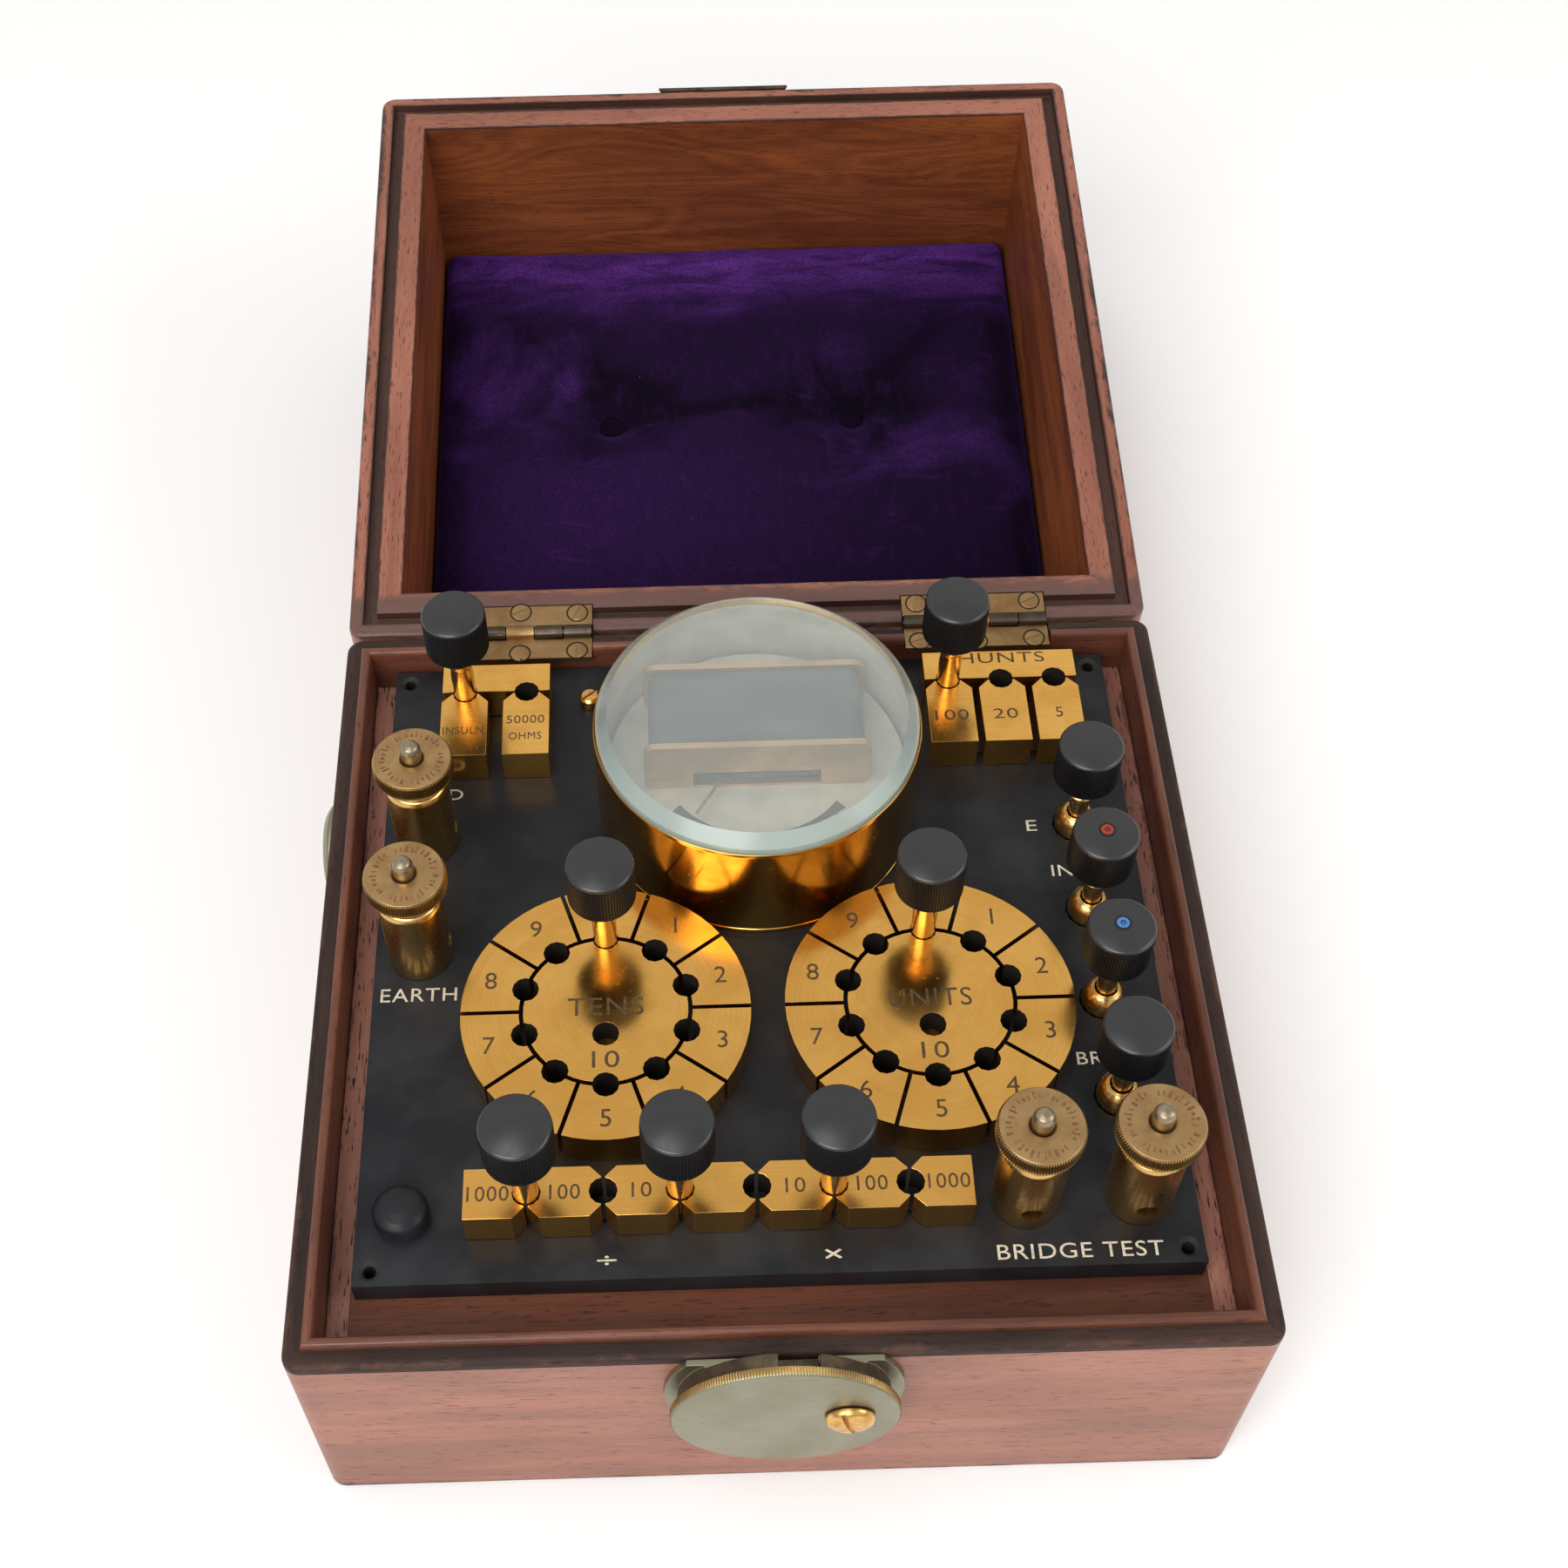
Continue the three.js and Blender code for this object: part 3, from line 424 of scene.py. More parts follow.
brass("knuckle_brass", (0.11, 0.085, 0.06), (0.06, 0.048, 0.038), (0.03, 0.02, 0.015), gloss=(0.3, 0.45),
    cloud_size=5, brush_depth=0.004)
brass("screw_brass", (0.8, 0.5, 0.17), (0.52, 0.28, 0.08), (0.12, 0.05, 0.015), gloss=(0.2, 0.32),
    cloud_size=3)
brass("post_stud_metal", (0.4, 0.34, 0.24), (0.26, 0.2, 0.13), (0.1, 0.07, 0.04), gloss=(0.3, 0.42),
    cloud_size=2.5)
steel("blued_steel")
steel("pin_steel", base=(0.1, 0.1, 0.11))
velvet()
glass("glass", back=(0.92, 0.96, 0.94), front=(0.92, 0.96, 0.94))
# The bevel ring's paler front is painted light.
glass("glass_bevel", back=(0.42, 0.46, 0.43), front=(0.6, 0.76, 0.72), ground=0.22, haze_and_painted_veil=0.36)
silvered()
winding()
filling("button_cloth", (0.0035, 0.0016, 0.006), (0.01, 0.004, 0.018), gloss=0.9, shine=0.03)
filling("black_wax", (0.055, 0.032, 0.014), (0.13, 0.075, 0.03))
filling("red_wax", (0.16, 0.055, 0.025), (0.26, 0.13, 0.06))
filling("cream_wax", (0.62, 0.56, 0.44), (0.4, 0.35, 0.26))
filling("scale_ink", (0.012, 0.012, 0.013), (0.03, 0.03, 0.03))
filling("red_inlay", (0.3, 0.035, 0.022), (0.2, 0.03, 0.016), gloss=0.35)
filling("blue_inlay", (0.06, 0.18, 0.44), (0.04, 0.12, 0.32), gloss=0.35)
filling("hole_shadow", (0.01, 0.007, 0.005), (0.02, 0.013, 0.01))

# ---- mesh building


def linked(name, data):
    item = bpy.data.objects.new(name, data)
    bpy.context.scene.collection.objects.link(item)
    return item


def evaluated(item):
    """A new mesh of an object with its modifiers applied."""
    graph = bpy.context.evaluated_depsgraph_get()
    return bpy.data.meshes.new_from_object(item.evaluated_get(graph))


def finish(mesh, names):
    """Gives a mesh the materials of a list of names."""
    for name in names.split():
        mesh.materials.append(FINISHES[name])


def show(name, mesh, finishes, node, turn=SHUT, slot=None, stands=True, sharp=38, weighted=True):
    """Puts a mesh in the scene, smooth but for its sharp edges. It rides on the body of a CAD node and
    stands for the node unless it is a small piece beside the one that does."""
    piece = linked(name, mesh)
    piece.matrix_world = turn
    if not mesh.materials:
        finish(mesh, finishes)
    mesh.shade_smooth()
    mesh.set_sharp_from_angle(angle=radians(sharp))
    if weighted:
        fair = piece.modifiers.new("fair_normals", "WEIGHTED_NORMAL")
        fair.keep_sharp = True
        fair.weight = 90
    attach(piece, BODY_OF[node])
    slot or SLOT_OF[node]
    if stands:
        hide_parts(node)
    return piece


def beside(name, mesh, finishes, node, turn=SHUT, **options):
    return show(name, mesh, finishes, node, turn, stands=False, **options)


def as_mesh(build):
    mesh = bpy.data.meshes.new("shape")
    build.to_mesh(mesh)
    build.free()
    return mesh


def closed(build):
    bmesh.ops.recalc_face_normals(build, faces=build.faces)
    return as_mesh(build)


def merge(build, mesh):
    build.from_mesh(mesh)
    bpy.data.meshes.remove(mesh)


def eased(points, radius, steps=3):
    """An open outline with each inner corner rounded off."""
    out = [points[0]]
    for before, corner, after in zip(points, points[1:], points[2:]):
        a, c, b = Vector(before), Vector(corner), Vector(after)
        reach_a, reach_b = (a - c).length, (b - c).length
        reach = min(radius, reach_a * 0.45, reach_b * 0.45)
        if reach < 0.02 or (a - c).angle(b - c, pi) > radians(168):
            out.append(tuple(c))
            continue
        start, end = c + (a - c) * reach / reach_a, c + (b - c) * reach / reach_b
        for i in range(steps + 1):
            t = i / steps
            out.append(tuple(start * (1 - t) ** 2 + c * 2 * t * (1 - t) + end * t * t))
    out.append(points[-1])
    return out


def profile(strips, ease):
    """The rounded points of strips that share their ends, and the strip that each point is on."""
    points, owners = [], []
    for index, (kind, corners) in enumerate(strips):
        for point in eased(corners, ease)[1 if points else 0:]:
            points.append(point)
            owners.append(index)
    return points, owners


def skin(build, loops, kinds):
    """Faces from each loop of corners to the next, with a material index each; a loop may be one point."""
    for lower, upper, kind in zip(loops, loops[1:], kinds):
        size = max(len(lower), len(upper))
        for i in range(size):
            j = (i + 1) % size
            ring = [(lower, i), (lower, j), (upper, j), (upper, i)]
            corners = list(dict.fromkeys(loop[k % len(loop)] for loop, k in ring))
            if len(corners) > 2:
                build.faces.new(corners).material_index = kind


def lathe(strips, around=64, ribs=0, rib_depth=0, ribbed=None, ease=0.25, turn=SHUT):
    """A turned solid about Z. strips is a list of (material index, [(radius, height), ...]) from the
    lower axis point up to the upper one. The strip numbered ribbed gets fine vertical ribs."""
    points, owners = profile(strips, ease)
    build = bmesh.new()
    loops = []
    for (radius, height), owner in zip(points, owners):
        loop = []
        for i in range(1 if radius < 1e-6 else around):
            angle = 2 * pi * i / around
            reach = radius
            if owner == ribbed:
                reach -= rib_depth * (0.5 - 0.5 * cos(angle * ribs))
            corner = Vector((reach * cos(angle) * MM, reach * sin(angle) * MM, height * MM))
            loop.append(build.verts.new(turn @ corner))
        loops.append(loop)
    skin(build, loops, [strips[owner][0] for owner in owners[1:]])
    return closed(build)


def turned_shape(points, **options):
    """A turned solid of one material."""
    return lathe([(0, points)], **options)


def bevel(build, edges, width, segments, profile_shape):
    bmesh.ops.bevel(build, geom=edges, offset=width * MM, offset_type="OFFSET", segments=segments,
                    profile=profile_shape, affect="EDGES", clamp_overlap=True)


def rounded(build, width, segments=2, shortest=0):
    """Rounds the sharp edges longer than shortest."""
    edges = [e for e in build.edges if e.is_manifold and e.calc_face_angle(0) > radians(32)
             and e.calc_length() > shortest * MM]
    bevel(build, edges, width, segments, 0.6)
    return build


def refined(name, node, finishes, width, turn=SHUT, pick=None, soft_ends=None):
    """The CAD node again with its edges rounded; pick(middle, normal) says which material a face takes.
    soft_ends is (radius, x, z) of upper end edges that are rounded first."""
    mesh = NODES[node].data.copy()
    mesh.materials.clear()
    build = bmesh.new()
    build.from_mesh(mesh)
    bmesh.ops.transform(build, matrix=turn.inverted(), verts=build.verts)
    bmesh.ops.remove_doubles(build, verts=build.verts, dist=0.003 * MM)
    bmesh.ops.dissolve_limit(build, angle_limit=radians(1), verts=build.verts, edges=build.edges)
    if soft_ends:
        radius, x, z = soft_ends
        ends = [e for e in build.edges if all(abs(v.co.x) > x * MM and v.co.z > z * MM for v in e.verts)]
        bevel(build, ends, radius, 6, 0.5)
    rounded(build, width, shortest=0.3)
    bmesh.ops.recalc_face_normals(build, faces=build.faces)
    for face in build.faces:
        face.material_index = pick(face.calc_center_median() / MM, face.normal) if pick else 0
    build.to_mesh(mesh)
    build.free()
    for attribute in [a.name for a in mesh.attributes if a.name.startswith("custom_normal")]:
        mesh.attributes.remove(mesh.attributes[attribute])
    return show(name, mesh, finishes, node, turn)


def prism(outline, low, high):
    """A closed plan outline, raised from low to high, as a bmesh."""
    build = bmesh.new()
    bottom, top = [[build.verts.new((x * MM, y * MM, z * MM)) for x, y in outline] for z in (low, high)]
    build.faces.new(bottom[::-1])
    build.faces.new(top)
    skin(build, [bottom, top], [0])
    return build


def box_outline(x0, x1, y0, y1):
    return [(x0, y0), (x1, y0), (x1, y1), (x0, y1)]


def carved(mesh, cutters, finishes="", cut_finish=0):
    """mesh with each cutter mesh taken out of it; cut_finish is the material index of the cut faces."""
    for one in (mesh, *cutters):
        finish(one, finishes)
    body = linked("carving", mesh)
    tools = [linked("cutter", cutter) for cutter in cutters]
    for cutter, tool in zip(cutters, tools):
        for face in cutter.polygons:
            face.material_index = cut_finish
        step = body.modifiers.new("cut", "BOOLEAN")
        step.operation = "DIFFERENCE"
        step.solver = "EXACT"
        step.object = tool
    made = evaluated(body)
    if not finishes:
        made.materials.clear()
    for item in [body, *tools]:
        bpy.data.objects.remove(item)
    return made


def at(x, y, z, spin=0):
    return Matrix.Translation((x * MM, y * MM, z * MM)) @ Matrix.Rotation(spin, 4, "Z")


def over(node, z, spin=0):
    """The place at height z on the upright through a CAD node's middle."""
    return at(*node_middle(node).xy, z, spin)


def slotted(head, reach, width, low, high):
    """A screw head with its slot cut from high down to low."""
    outline = box_outline(-reach, reach, -width / 2, width / 2)
    return carved(head, [as_mesh(prism(outline, low, high))])


def slotted_head(radius, height, dome, depth):
    """A screw head with its slot, seated at z = 0."""
    head = turned_shape([(0, -0.4), (radius, -0.4), (radius, height - dome), (radius * 0.72, height),
                         (0, height)], around=40, ease=0.2)
    return slotted(head, radius * 1.2, 0.6, height - depth, height + 1)


random.seed(7)

# ---- case

CORNER, CORNER_STEPS = 3.5, 6
HINGE_X, HINGE_HALF = 54, 17.3


def framed(strips, ease=0.4):
    """A four-sided frame: strips is a list of (material index, [(inset from the outside, height), ...])."""
    points, owners = profile(strips, ease)
    build = bmesh.new()
    loops = []
    for inset, height in points[:-1]:
        bend = max(CORNER - inset, 0.02)
        loop = []
        for quarter, (sx, sy) in enumerate(((1, 1), (-1, 1), (-1, -1), (1, -1))):
            for step in range(CORNER_STEPS + 1):
                angle = (quarter + step / CORNER_STEPS) * pi / 2
                x = sx * (HALF_X - inset - bend) + bend * cos(angle)
                y = sy * (HALF_Y - inset - bend) + bend * sin(angle)
                loop.append(build.verts.new((x * MM, y * MM, height * MM)))
        loops.append(loop)
    loops.append(loops[0])
    skin(build, loops, [strips[owner][0] for owner in owners[1:]])
    bmesh.ops.remove_doubles(build, verts=build.verts, dist=0.045 * MM)
    return closed(build)


def hinge_cuts(side):
    """Cutters for the two hinge housings; side is 1 above the pins and -1 below them."""
    section = [(-8.1, 1.7), (-2.2, 1.7), (-2.2, 2.2), (6, 2.2), (6, -9), (-8.1, -9)]
    cutters = []
    for x in (-HINGE_X, HINGE_X):
        build = bmesh.new()
        ends = [[build.verts.new((end * MM, (PIN.y + y) * MM, (PIN.z + side * z) * MM)) for y, z in section]
                for end in (x - HINGE_HALF, x + HINGE_HALF)]
        for end in ends:
            build.faces.new(end)
        skin(build, ends, [0])
        cutters.append(closed(build))
    return cutters


walls = framed([
    (0, [(0, 0.4), (0, 61.7)]),
    (1, [(0, 61.7), (0.16, 61.85), (0, 62.05), (0, 62.6), (0.25, 63.6), (1.1, RIM), (3.68, RIM)]),
    (3, [(3.68, RIM), (3.74, 64.9), (4.1, 65.6), (4.9, 65.95), (5.7, 65.6), (6.04, 64.9), (6.1, 63.8)]),
    (2, [(6.1, 63.8), (6.1, 0.05)]),
    (0, [(6.1, 0.05), (0.5, 0.05), (0, 0.4)]),
])
case_finishes = "case_mahogany case_rim_wood case_inner_wood case_bead_wood"
walls = carved(walls, hinge_cuts(-1), case_finishes, cut_finish=1)
show("case_walls", walls, case_finishes, "case_frame")
refined("case_floor", "case_bottom", "varnished_board", 0.3)

PANEL_SEAT_X, WELL_X, WELL_FRONT, WELL_BACK = 84.4, 77, -66, 77
LEDGE_LOW, LEDGE_HIGH = LEDGE_BOX
BEARER = PANEL_SEAT_X - 0.1
for name, outline, wood_name in (
    ("ledge_left", (LEDGE_LOW.x, -PANEL_SEAT_X, LEDGE_LOW.y, LEDGE_HIGH.y), "ledge_wood"),
    ("ledge_right", (PANEL_SEAT_X, LEDGE_HIGH.x, LEDGE_LOW.y, LEDGE_HIGH.y), "ledge_wood"),
    ("bearer_left", (-BEARER, -WELL_X, WELL_FRONT + 0.1, WELL_BACK - 0.1), "ledge_front_wood"),
    ("bearer_right", (WELL_X, BEARER, WELL_FRONT + 0.1, WELL_BACK - 0.1), "ledge_front_wood"),
    ("ledge_front", (-BEARER, BEARER, LEDGE_LOW.y, WELL_FRONT), "ledge_front_wood"),
    ("ledge_back", (-BEARER, BEARER, WELL_BACK, LEDGE_HIGH.y), "ledge_front_wood"),
):
    strip = as_mesh(rounded(prism(box_outline(*outline), LEDGE_LOW.z, LEDGE_HIGH.z), 0.35))
    show(name, strip, wood_name, "panel_ledge", slot="inner_wood", stands=name == "ledge_left")

STUD_Y, STUD_Z = 40, 48
side_turn = at(-HALF_X - 0.05, STUD_Y, STUD_Z) @ Matrix.Rotation(-pi / 2, 4, "Y")
stud = turned_shape([(0, 0), (11, 0), (11, 1.5), (8.8, 2.9), (3.3, 3), (0, 3)], around=72, ease=0.6)
show("strap_stud_disc", stud, "dull_brass", "strap_stud", side_turn)

# ---- lid

LID_WALL = 12.3
GROOVE_NEAR, GROOVE_FAR, GROOVE_TOP = 3.3, 6.5, 66.8
LID_BOARD_LOW = 119.78
lid_walls = framed([
    (1, [(0, 65.4), (0.3, 64.55), (1, LID_RIM), (GROOVE_NEAR, LID_RIM)]),
    (3, [(GROOVE_NEAR, LID_RIM), (GROOVE_NEAR, GROOVE_TOP), (GROOVE_FAR, GROOVE_TOP), (GROOVE_FAR, LID_RIM)]),
    (1, [(GROOVE_FAR, LID_RIM), (LID_WALL, LID_RIM), (LID_WALL, 65)]),
    (2, [(LID_WALL, 65), (LID_WALL, LID_BOARD_LOW)]),
    (0, [(LID_WALL, LID_BOARD_LOW), (0.3, LID_BOARD_LOW), (0, LID_BOARD_LOW - 0.4), (0, 65.4)]),
], ease=0.3)
lid_finishes = "lid_mahogany lid_rim_wood lid_inner_wood groove_wood"
lid_walls = carved(lid_walls, hinge_cuts(1), lid_finishes, cut_finish=3)
show("lid_walls", lid_walls, lid_finishes, "lid_frame", LID_OPEN)
refined("lid_board", "lid_top", "lid_board_mahogany", 0.8, LID_OPEN)

# ---- hinges

KNUCKLE_REACH, MIDDLE_KNUCKLE = 2.05, 3.6
LEAF_SCREWS = ((-13.5, 5.6), (0, 6.1), (13.5, 5.6))
TIP_OVER = Matrix.Rotation(pi, 4, "X")
leaf_screw = slotted_head(2.3, 0.12, dome=0.05, depth=0.5)
leaf_ring = turned_shape([(2.28, -0.1), (2.62, -0.1), (2.62, 0.045), (2.28, 0.045), (2.28, -0.1)],
                         around=40, ease=0)


def knuckle_face(middle, normal):
    """The rolled knuckles are dark, all but the middle one."""
    off = hypot(middle.y - PIN.y, middle.z - PIN.z)
    return 1 if off < KNUCKLE_REACH and abs(abs(middle.x) - HINGE_X) > MIDDLE_KNUCKLE else 0


for side in ("left", "right"):
    middle = node_middle(f"hinge_pin_{side}")
    for part, turn in (("case", SHUT), ("lid", LID_OPEN)):
        refined(f"{part}_leaf_{side}", f"hinge_{part}_leaf_{side}", "hinge_brass knuckle_brass", 0.18, turn,
                pick=knuckle_face)
    refined(f"pin_{side}", f"hinge_pin_{side}", "pin_steel", 0.12)
    for count, (offset, depth) in enumerate(LEAF_SCREWS):
        x, y = middle.x + offset, PIN.y - depth
        case_spot = at(x, y, PIN.z - 0.15, random.uniform(0.2, 2.6))
        lid_spot = LID_OPEN @ at(x, y, PIN.z + 0.15) @ TIP_OVER
        lid_spot = lid_spot @ Matrix.Rotation(random.uniform(0.2, 2.6), 4, "Z")
        for part, spot in (("case", case_spot), ("lid", lid_spot)):
            leaf = f"hinge_{part}_leaf_{side}"
            beside(f"{part}_leaf_screw_{side}_{count}", leaf_screw, "hinge_brass", leaf, spot)
            beside(f"{part}_leaf_ring_{side}_{count}", leaf_ring, "hole_shadow", leaf, spot)

# ---- front catch

LOCK_Z = 49.8
LOCK_FRONT = -HALF_Y - 0.05
PIVOT_X, PIVOT_Z = 12.3, 50.6


def lock_at(x, z, spin=0):
    """Z of the piece points to the front of the case."""
    forward = Matrix.Rotation(pi / 2, 4, "X")
    return Matrix.Translation((x * MM, LOCK_FRONT * MM, z * MM)) @ forward @ Matrix.Rotation(spin, 4, "Z")


def drum_face(middle, normal):
    return 1 if middle.y < LOCK_FRONT - 1.5 else 0


refined("catch_body", "catch_drum", "dull_brass lock_dark_brass", 0.2, pick=drum_face)
refined("lid_plate", "lid_catch_plate", "lock_dark_brass", 0.25, LID_OPEN)

DISC_BACK, DISC_FRONT, DISC_RADIUS = 4.8, 6.9, 22.15
disc = lathe([
    (1, [(0, DISC_BACK), (21.4, DISC_BACK), (DISC_RADIUS, DISC_BACK + 0.35)]),
    (1, [(DISC_RADIUS, DISC_BACK + 0.35), (DISC_RADIUS, DISC_FRONT - 0.35)]),
    (0, [(DISC_RADIUS, DISC_FRONT - 0.35), (21.7, DISC_FRONT), (0, DISC_FRONT)]),
], around=960, ribs=240, rib_depth=0.24, ribbed=1, ease=0.08, turn=at(-PIVOT_X, LOCK_Z - PIVOT_Z, 0))
show("milled_disc", disc, "dull_brass milled_brass", "catch_disc", lock_at(PIVOT_X, PIVOT_Z))

screw = turned_shape([(0, 2.5), (1.5, 2.5), (1.5, 7.1), (4.9, 7.1), (4.85, 7.7), (4.4, 8.5), (3.2, 9.2),
                      (1.6, 9.55), (0, 9.6)])
screw = slotted(screw, 6, 1, 8.3, 13)
show("lock_screw", screw, "screw_brass", "catch_screw", lock_at(PIVOT_X, PIVOT_Z, 1.9))

# ---- panel

SCREW_INSET, SCREW_REACH = 3.3, 2.4
PANEL_LOW, PANEL_HIGH = node_box("panel")


def panel_face(middle, normal):
    """Dust lies in the countersinks of the four screw holes, which are dark below."""
    off_x = abs(abs(middle.x) - (PANEL_HIGH.x - SCREW_INSET))
    off_y = min(abs(middle.y - PANEL_LOW.y - SCREW_INSET), abs(middle.y - PANEL_HIGH.y + SCREW_INSET))
    if hypot(off_x, off_y) > SCREW_REACH or not DECK - 5.5 <= middle.z <= DECK - 0.05:
        return 0
    return 1 if middle.z > DECK - 0.9 else 2


refined("panel_sheet", "panel", "ebonite dusty_ebonite hole_shadow", 0.2, pick=panel_face)

# ---- brass blocks

STRIP_TOP = DECK + 1.35
HOLE_REACH = 2.85


def holed_face(holes):
    """0 brass, 1 the hidden strip under a row, 2 inside a plug hole."""
    def pick(middle, normal):
        if middle.z < STRIP_TOP:
            return 1
        near = min(hypot(middle.x - x, middle.y - y) for x, y in holes)
        return 2 if near < HOLE_REACH and abs(normal.z) < 0.3 and middle.z < BLOCK_TOP - 0.5 else 0
    return pick


def tenth(step, radius):
    """A point of a dial of ten, counted clockwise from the back."""
    angle = pi / 2 - step * pi / 5
    return radius * cos(angle), radius * sin(angle)


DIAL_HOLES, TEN_HOLE = 17.5, 5.7
RATIO_X, RATIO_Y, RATIO_PITCH = -11.5, -57.6, 15
TAB_X, TAB_Y = (-65.8, -51.7, 45.2, 57.4, 69.6), 69.15
row_holes = [(x, TAB_Y) for x in TAB_X]
row_holes += [(RATIO_X + (step - 2.5) * RATIO_PITCH, RATIO_Y) for step in range(6)]
dial_holes = []
for x in (-DIAL_X, DIAL_X):
    spots = [(0, -TEN_HOLE), *(tenth(step, DIAL_HOLES) for step in range(10))]
    dial_holes += [(x + off_x, DIAL_Y + off_y) for off_x, off_y in spots]
for node in ("insulation_bar", "insulation_block", "ohms_block", "shunt_bar", "shunt_blocks", "ratio_blocks"):
    refined(f"{node}_brass", node, "lacquered_brass ebonite hole_shadow", 0.28, pick=holed_face(row_holes))
for node in ("tens_hub", "tens_segments", "units_hub", "units_segments"):
    refined(f"{node}_brass", node, "turned_dial_brass ebonite hole_shadow", 0.25, pick=holed_face(dial_holes))

# ---- knobs and plugs


def knob(radius, low, top, stem):
    """A knob on the lower end at stem: its underside, ribbed skirt and smooth dome."""
    edge = top - radius * 0.17
    skirt_low, skirt_high = (radius - 0.05, low + 0.45), (radius - 0.1, edge - 0.6)
    return lathe([
        (0, [(0, stem[1]), stem]),
        (1, [stem, (radius - 0.5, low), skirt_low]),
        (1, [skirt_low, (radius, low + 0.6), (radius, edge - 0.9), skirt_high]),
        (0, [skirt_high, (radius - 0.12, edge - 0.1), (radius - 0.5, edge + 0.3),
             (radius * 0.62, top - 0.42), (radius * 0.3, top - 0.1), (0, top)]),
    ], around=288, ribs=72, rib_depth=0.22, ribbed=2, ease=0.3)


plug_knob = knob(7.1, 16.4, 28.4, (2.6, 16.3))
plug_pin = turned_shape([
    (0, -7.6), (1.9, -7.6), (2.1, -7.2), (2.55, -0.2), (2.6, 6.5), (2.35, 9.8), (2.35, 10.6), (3.15, 11.1),
    (3.2, 12.4), (2.7, 12.8), (2.7, 13.3), (3.2, 13.7), (3.2, 14.8), (2.6, 15.5), (2.55, 16.8), (0, 16.8),
], around=48, ease=0.35)
for name in [name for name in BODY_OF if name.startswith("plug_")]:
    place = over(name, BLOCK_TOP, random.uniform(0, 1))
    show(f"{name}_knob", plug_knob, "knob_ebonite skirt_ebonite", name, place)
    beside(f"{name}_pin", plug_pin, "turned_brass", name, place, slot="lacquered_brass")

# ---- binding posts

WIRE_HIGH = 6
STUD_FROM = 83
CAP_TOP = 90
post_body = turned_shape([
    (0, LAID - 12), (2.3, LAID - 12), (2.4, LAID), (6.85, LAID), (6.85, 81), (6.5, 82), (5.9, 82.4),
    (2.2, 82.4), (2.2, 93), (1.7, 94.1), (0.9, 94.5), (0, 94.6),
], around=72, ease=0.3)


def drilled_post(across):
    """A post with its wire hole; across is the axis of the quarter turn that lays the hole along Y or X."""
    hole = turned_shape([(0, -12), (2.1, -12), (2.1, 12), (0, 12)], around=32, ease=0,
                        turn=at(0, 0, LAID + WIRE_HIGH) @ Matrix.Rotation(pi / 2, 4, across))
    made = carved(post_body.copy(), [hole])
    for face in made.polygons:
        face.material_index = 1 if face.center.z > STUD_FROM * MM else 0
    return made


forward_post, sideways_post = drilled_post("X"), drilled_post("Y")
post_ring = turned_shape([
    (2.3, 82.5), (6.1, 82.5), (6.45, 82.7), (6.45, 83.1), (6, 83.25), (6, 83.4), (6.3, 83.55), (6.3, 83.9),
    (6, 84.1), (2.3, 84.1), (2.3, 82.5),
], around=96, ease=0.12)
post_nut = lathe([
    (0, [(2.3, 84.2), (6.6, 84.2), (7.3, 84.7), (8.2, 85.9), (8.45, 86)]),
    (1, [(8.45, 86), (8.6, 86.15), (8.6, 89.2), (8.45, 89.35)]),
    (0, [(8.45, 89.35), (8.1, 89.9), (2.7, CAP_TOP), (2.3, 89.7), (2.3, 84.2)]),
], around=480, ribs=96, rib_depth=0.42, ribbed=1, ease=0.1)


def cap_strokes():
    """Plain short strokes round a cap, in groups of ten."""
    build = bmesh.new()
    chance = random.Random(11)
    for count in range(34):
        if count % 11 == 10:
            continue
        width, low, high = chance.uniform(0.12, 0.24), chance.uniform(5.3, 6), chance.uniform(6.5, 7.2)
        mark = prism(box_outline(-width, width, low, high), CAP_TOP + 0.005, CAP_TOP + 0.03)
        angle = (count + chance.uniform(-0.2, 0.2)) * 2 * pi / 34
        bmesh.ops.transform(mark, matrix=Matrix.Rotation(angle, 4, "Z"), verts=mark.verts)
        merge(build, as_mesh(mark))
    return as_mesh(build)


cap_marks = cap_strokes()
for washer in [name for name in BODY_OF if name.startswith("post_washer_")]:
    name = washer[len("post_washer_"):]
    place, spun = over(washer, 0), over(washer, 0, random.uniform(0, 3))
    post = sideways_post if node_middle(washer).x < 0 else forward_post
    show(f"post_body_{name}", post, "turned_brass post_stud_metal", f"post_{name}", place)
    show(f"post_ring_{name}", post_ring, "turned_brass", washer, place)
    show(f"post_cap_{name}", post_nut, "cap_brass milled_brass", f"post_nut_{name}", spun)
    beside(f"post_cap_marks_{name}", cap_marks, "red_wax", f"post_nut_{name}", spun, weighted=False)

# ---- keys

key_knob = knob(7, 17.6, 29.4, (2, 17.5))
key_stem = turned_shape([
    (0, -13), (2.1, -13), (2.1, 9.5), (2.1, 10.5), (3, 11), (3, 12.2), (2.4, 12.6), (2.4, 14), (3, 14.4),
    (3, 16.4), (2.1, 16.9), (2.05, 18), (0, 18),
], around=48, ease=0.3)
key_collar = turned_shape([
    (2.45, -4), (4.6, -4), (4.65, 1.6), (4.5, 2.5), (4.05, 3.6), (3.4, 4.45), (2.9, 4.9), (2.6, 4.85),
    (2.45, 4.3), (2.45, -4),
], ease=0.4)
for name in sorted(name for name in BODY_OF if name.startswith("key_") and name[4:].isdigit()):
    place = over(name, DECK)
    show(f"{name}_knob", key_knob, "knob_ebonite skirt_ebonite", name, place)
    beside(f"{name}_stem", key_stem, "turned_brass", name, place, slot="lacquered_brass")
    beside(f"{name}_collar", key_collar, "turned_brass", "key_guide_plate", place)
refined("key_plate", "key_guide_plate", "turned_brass", 0.2)

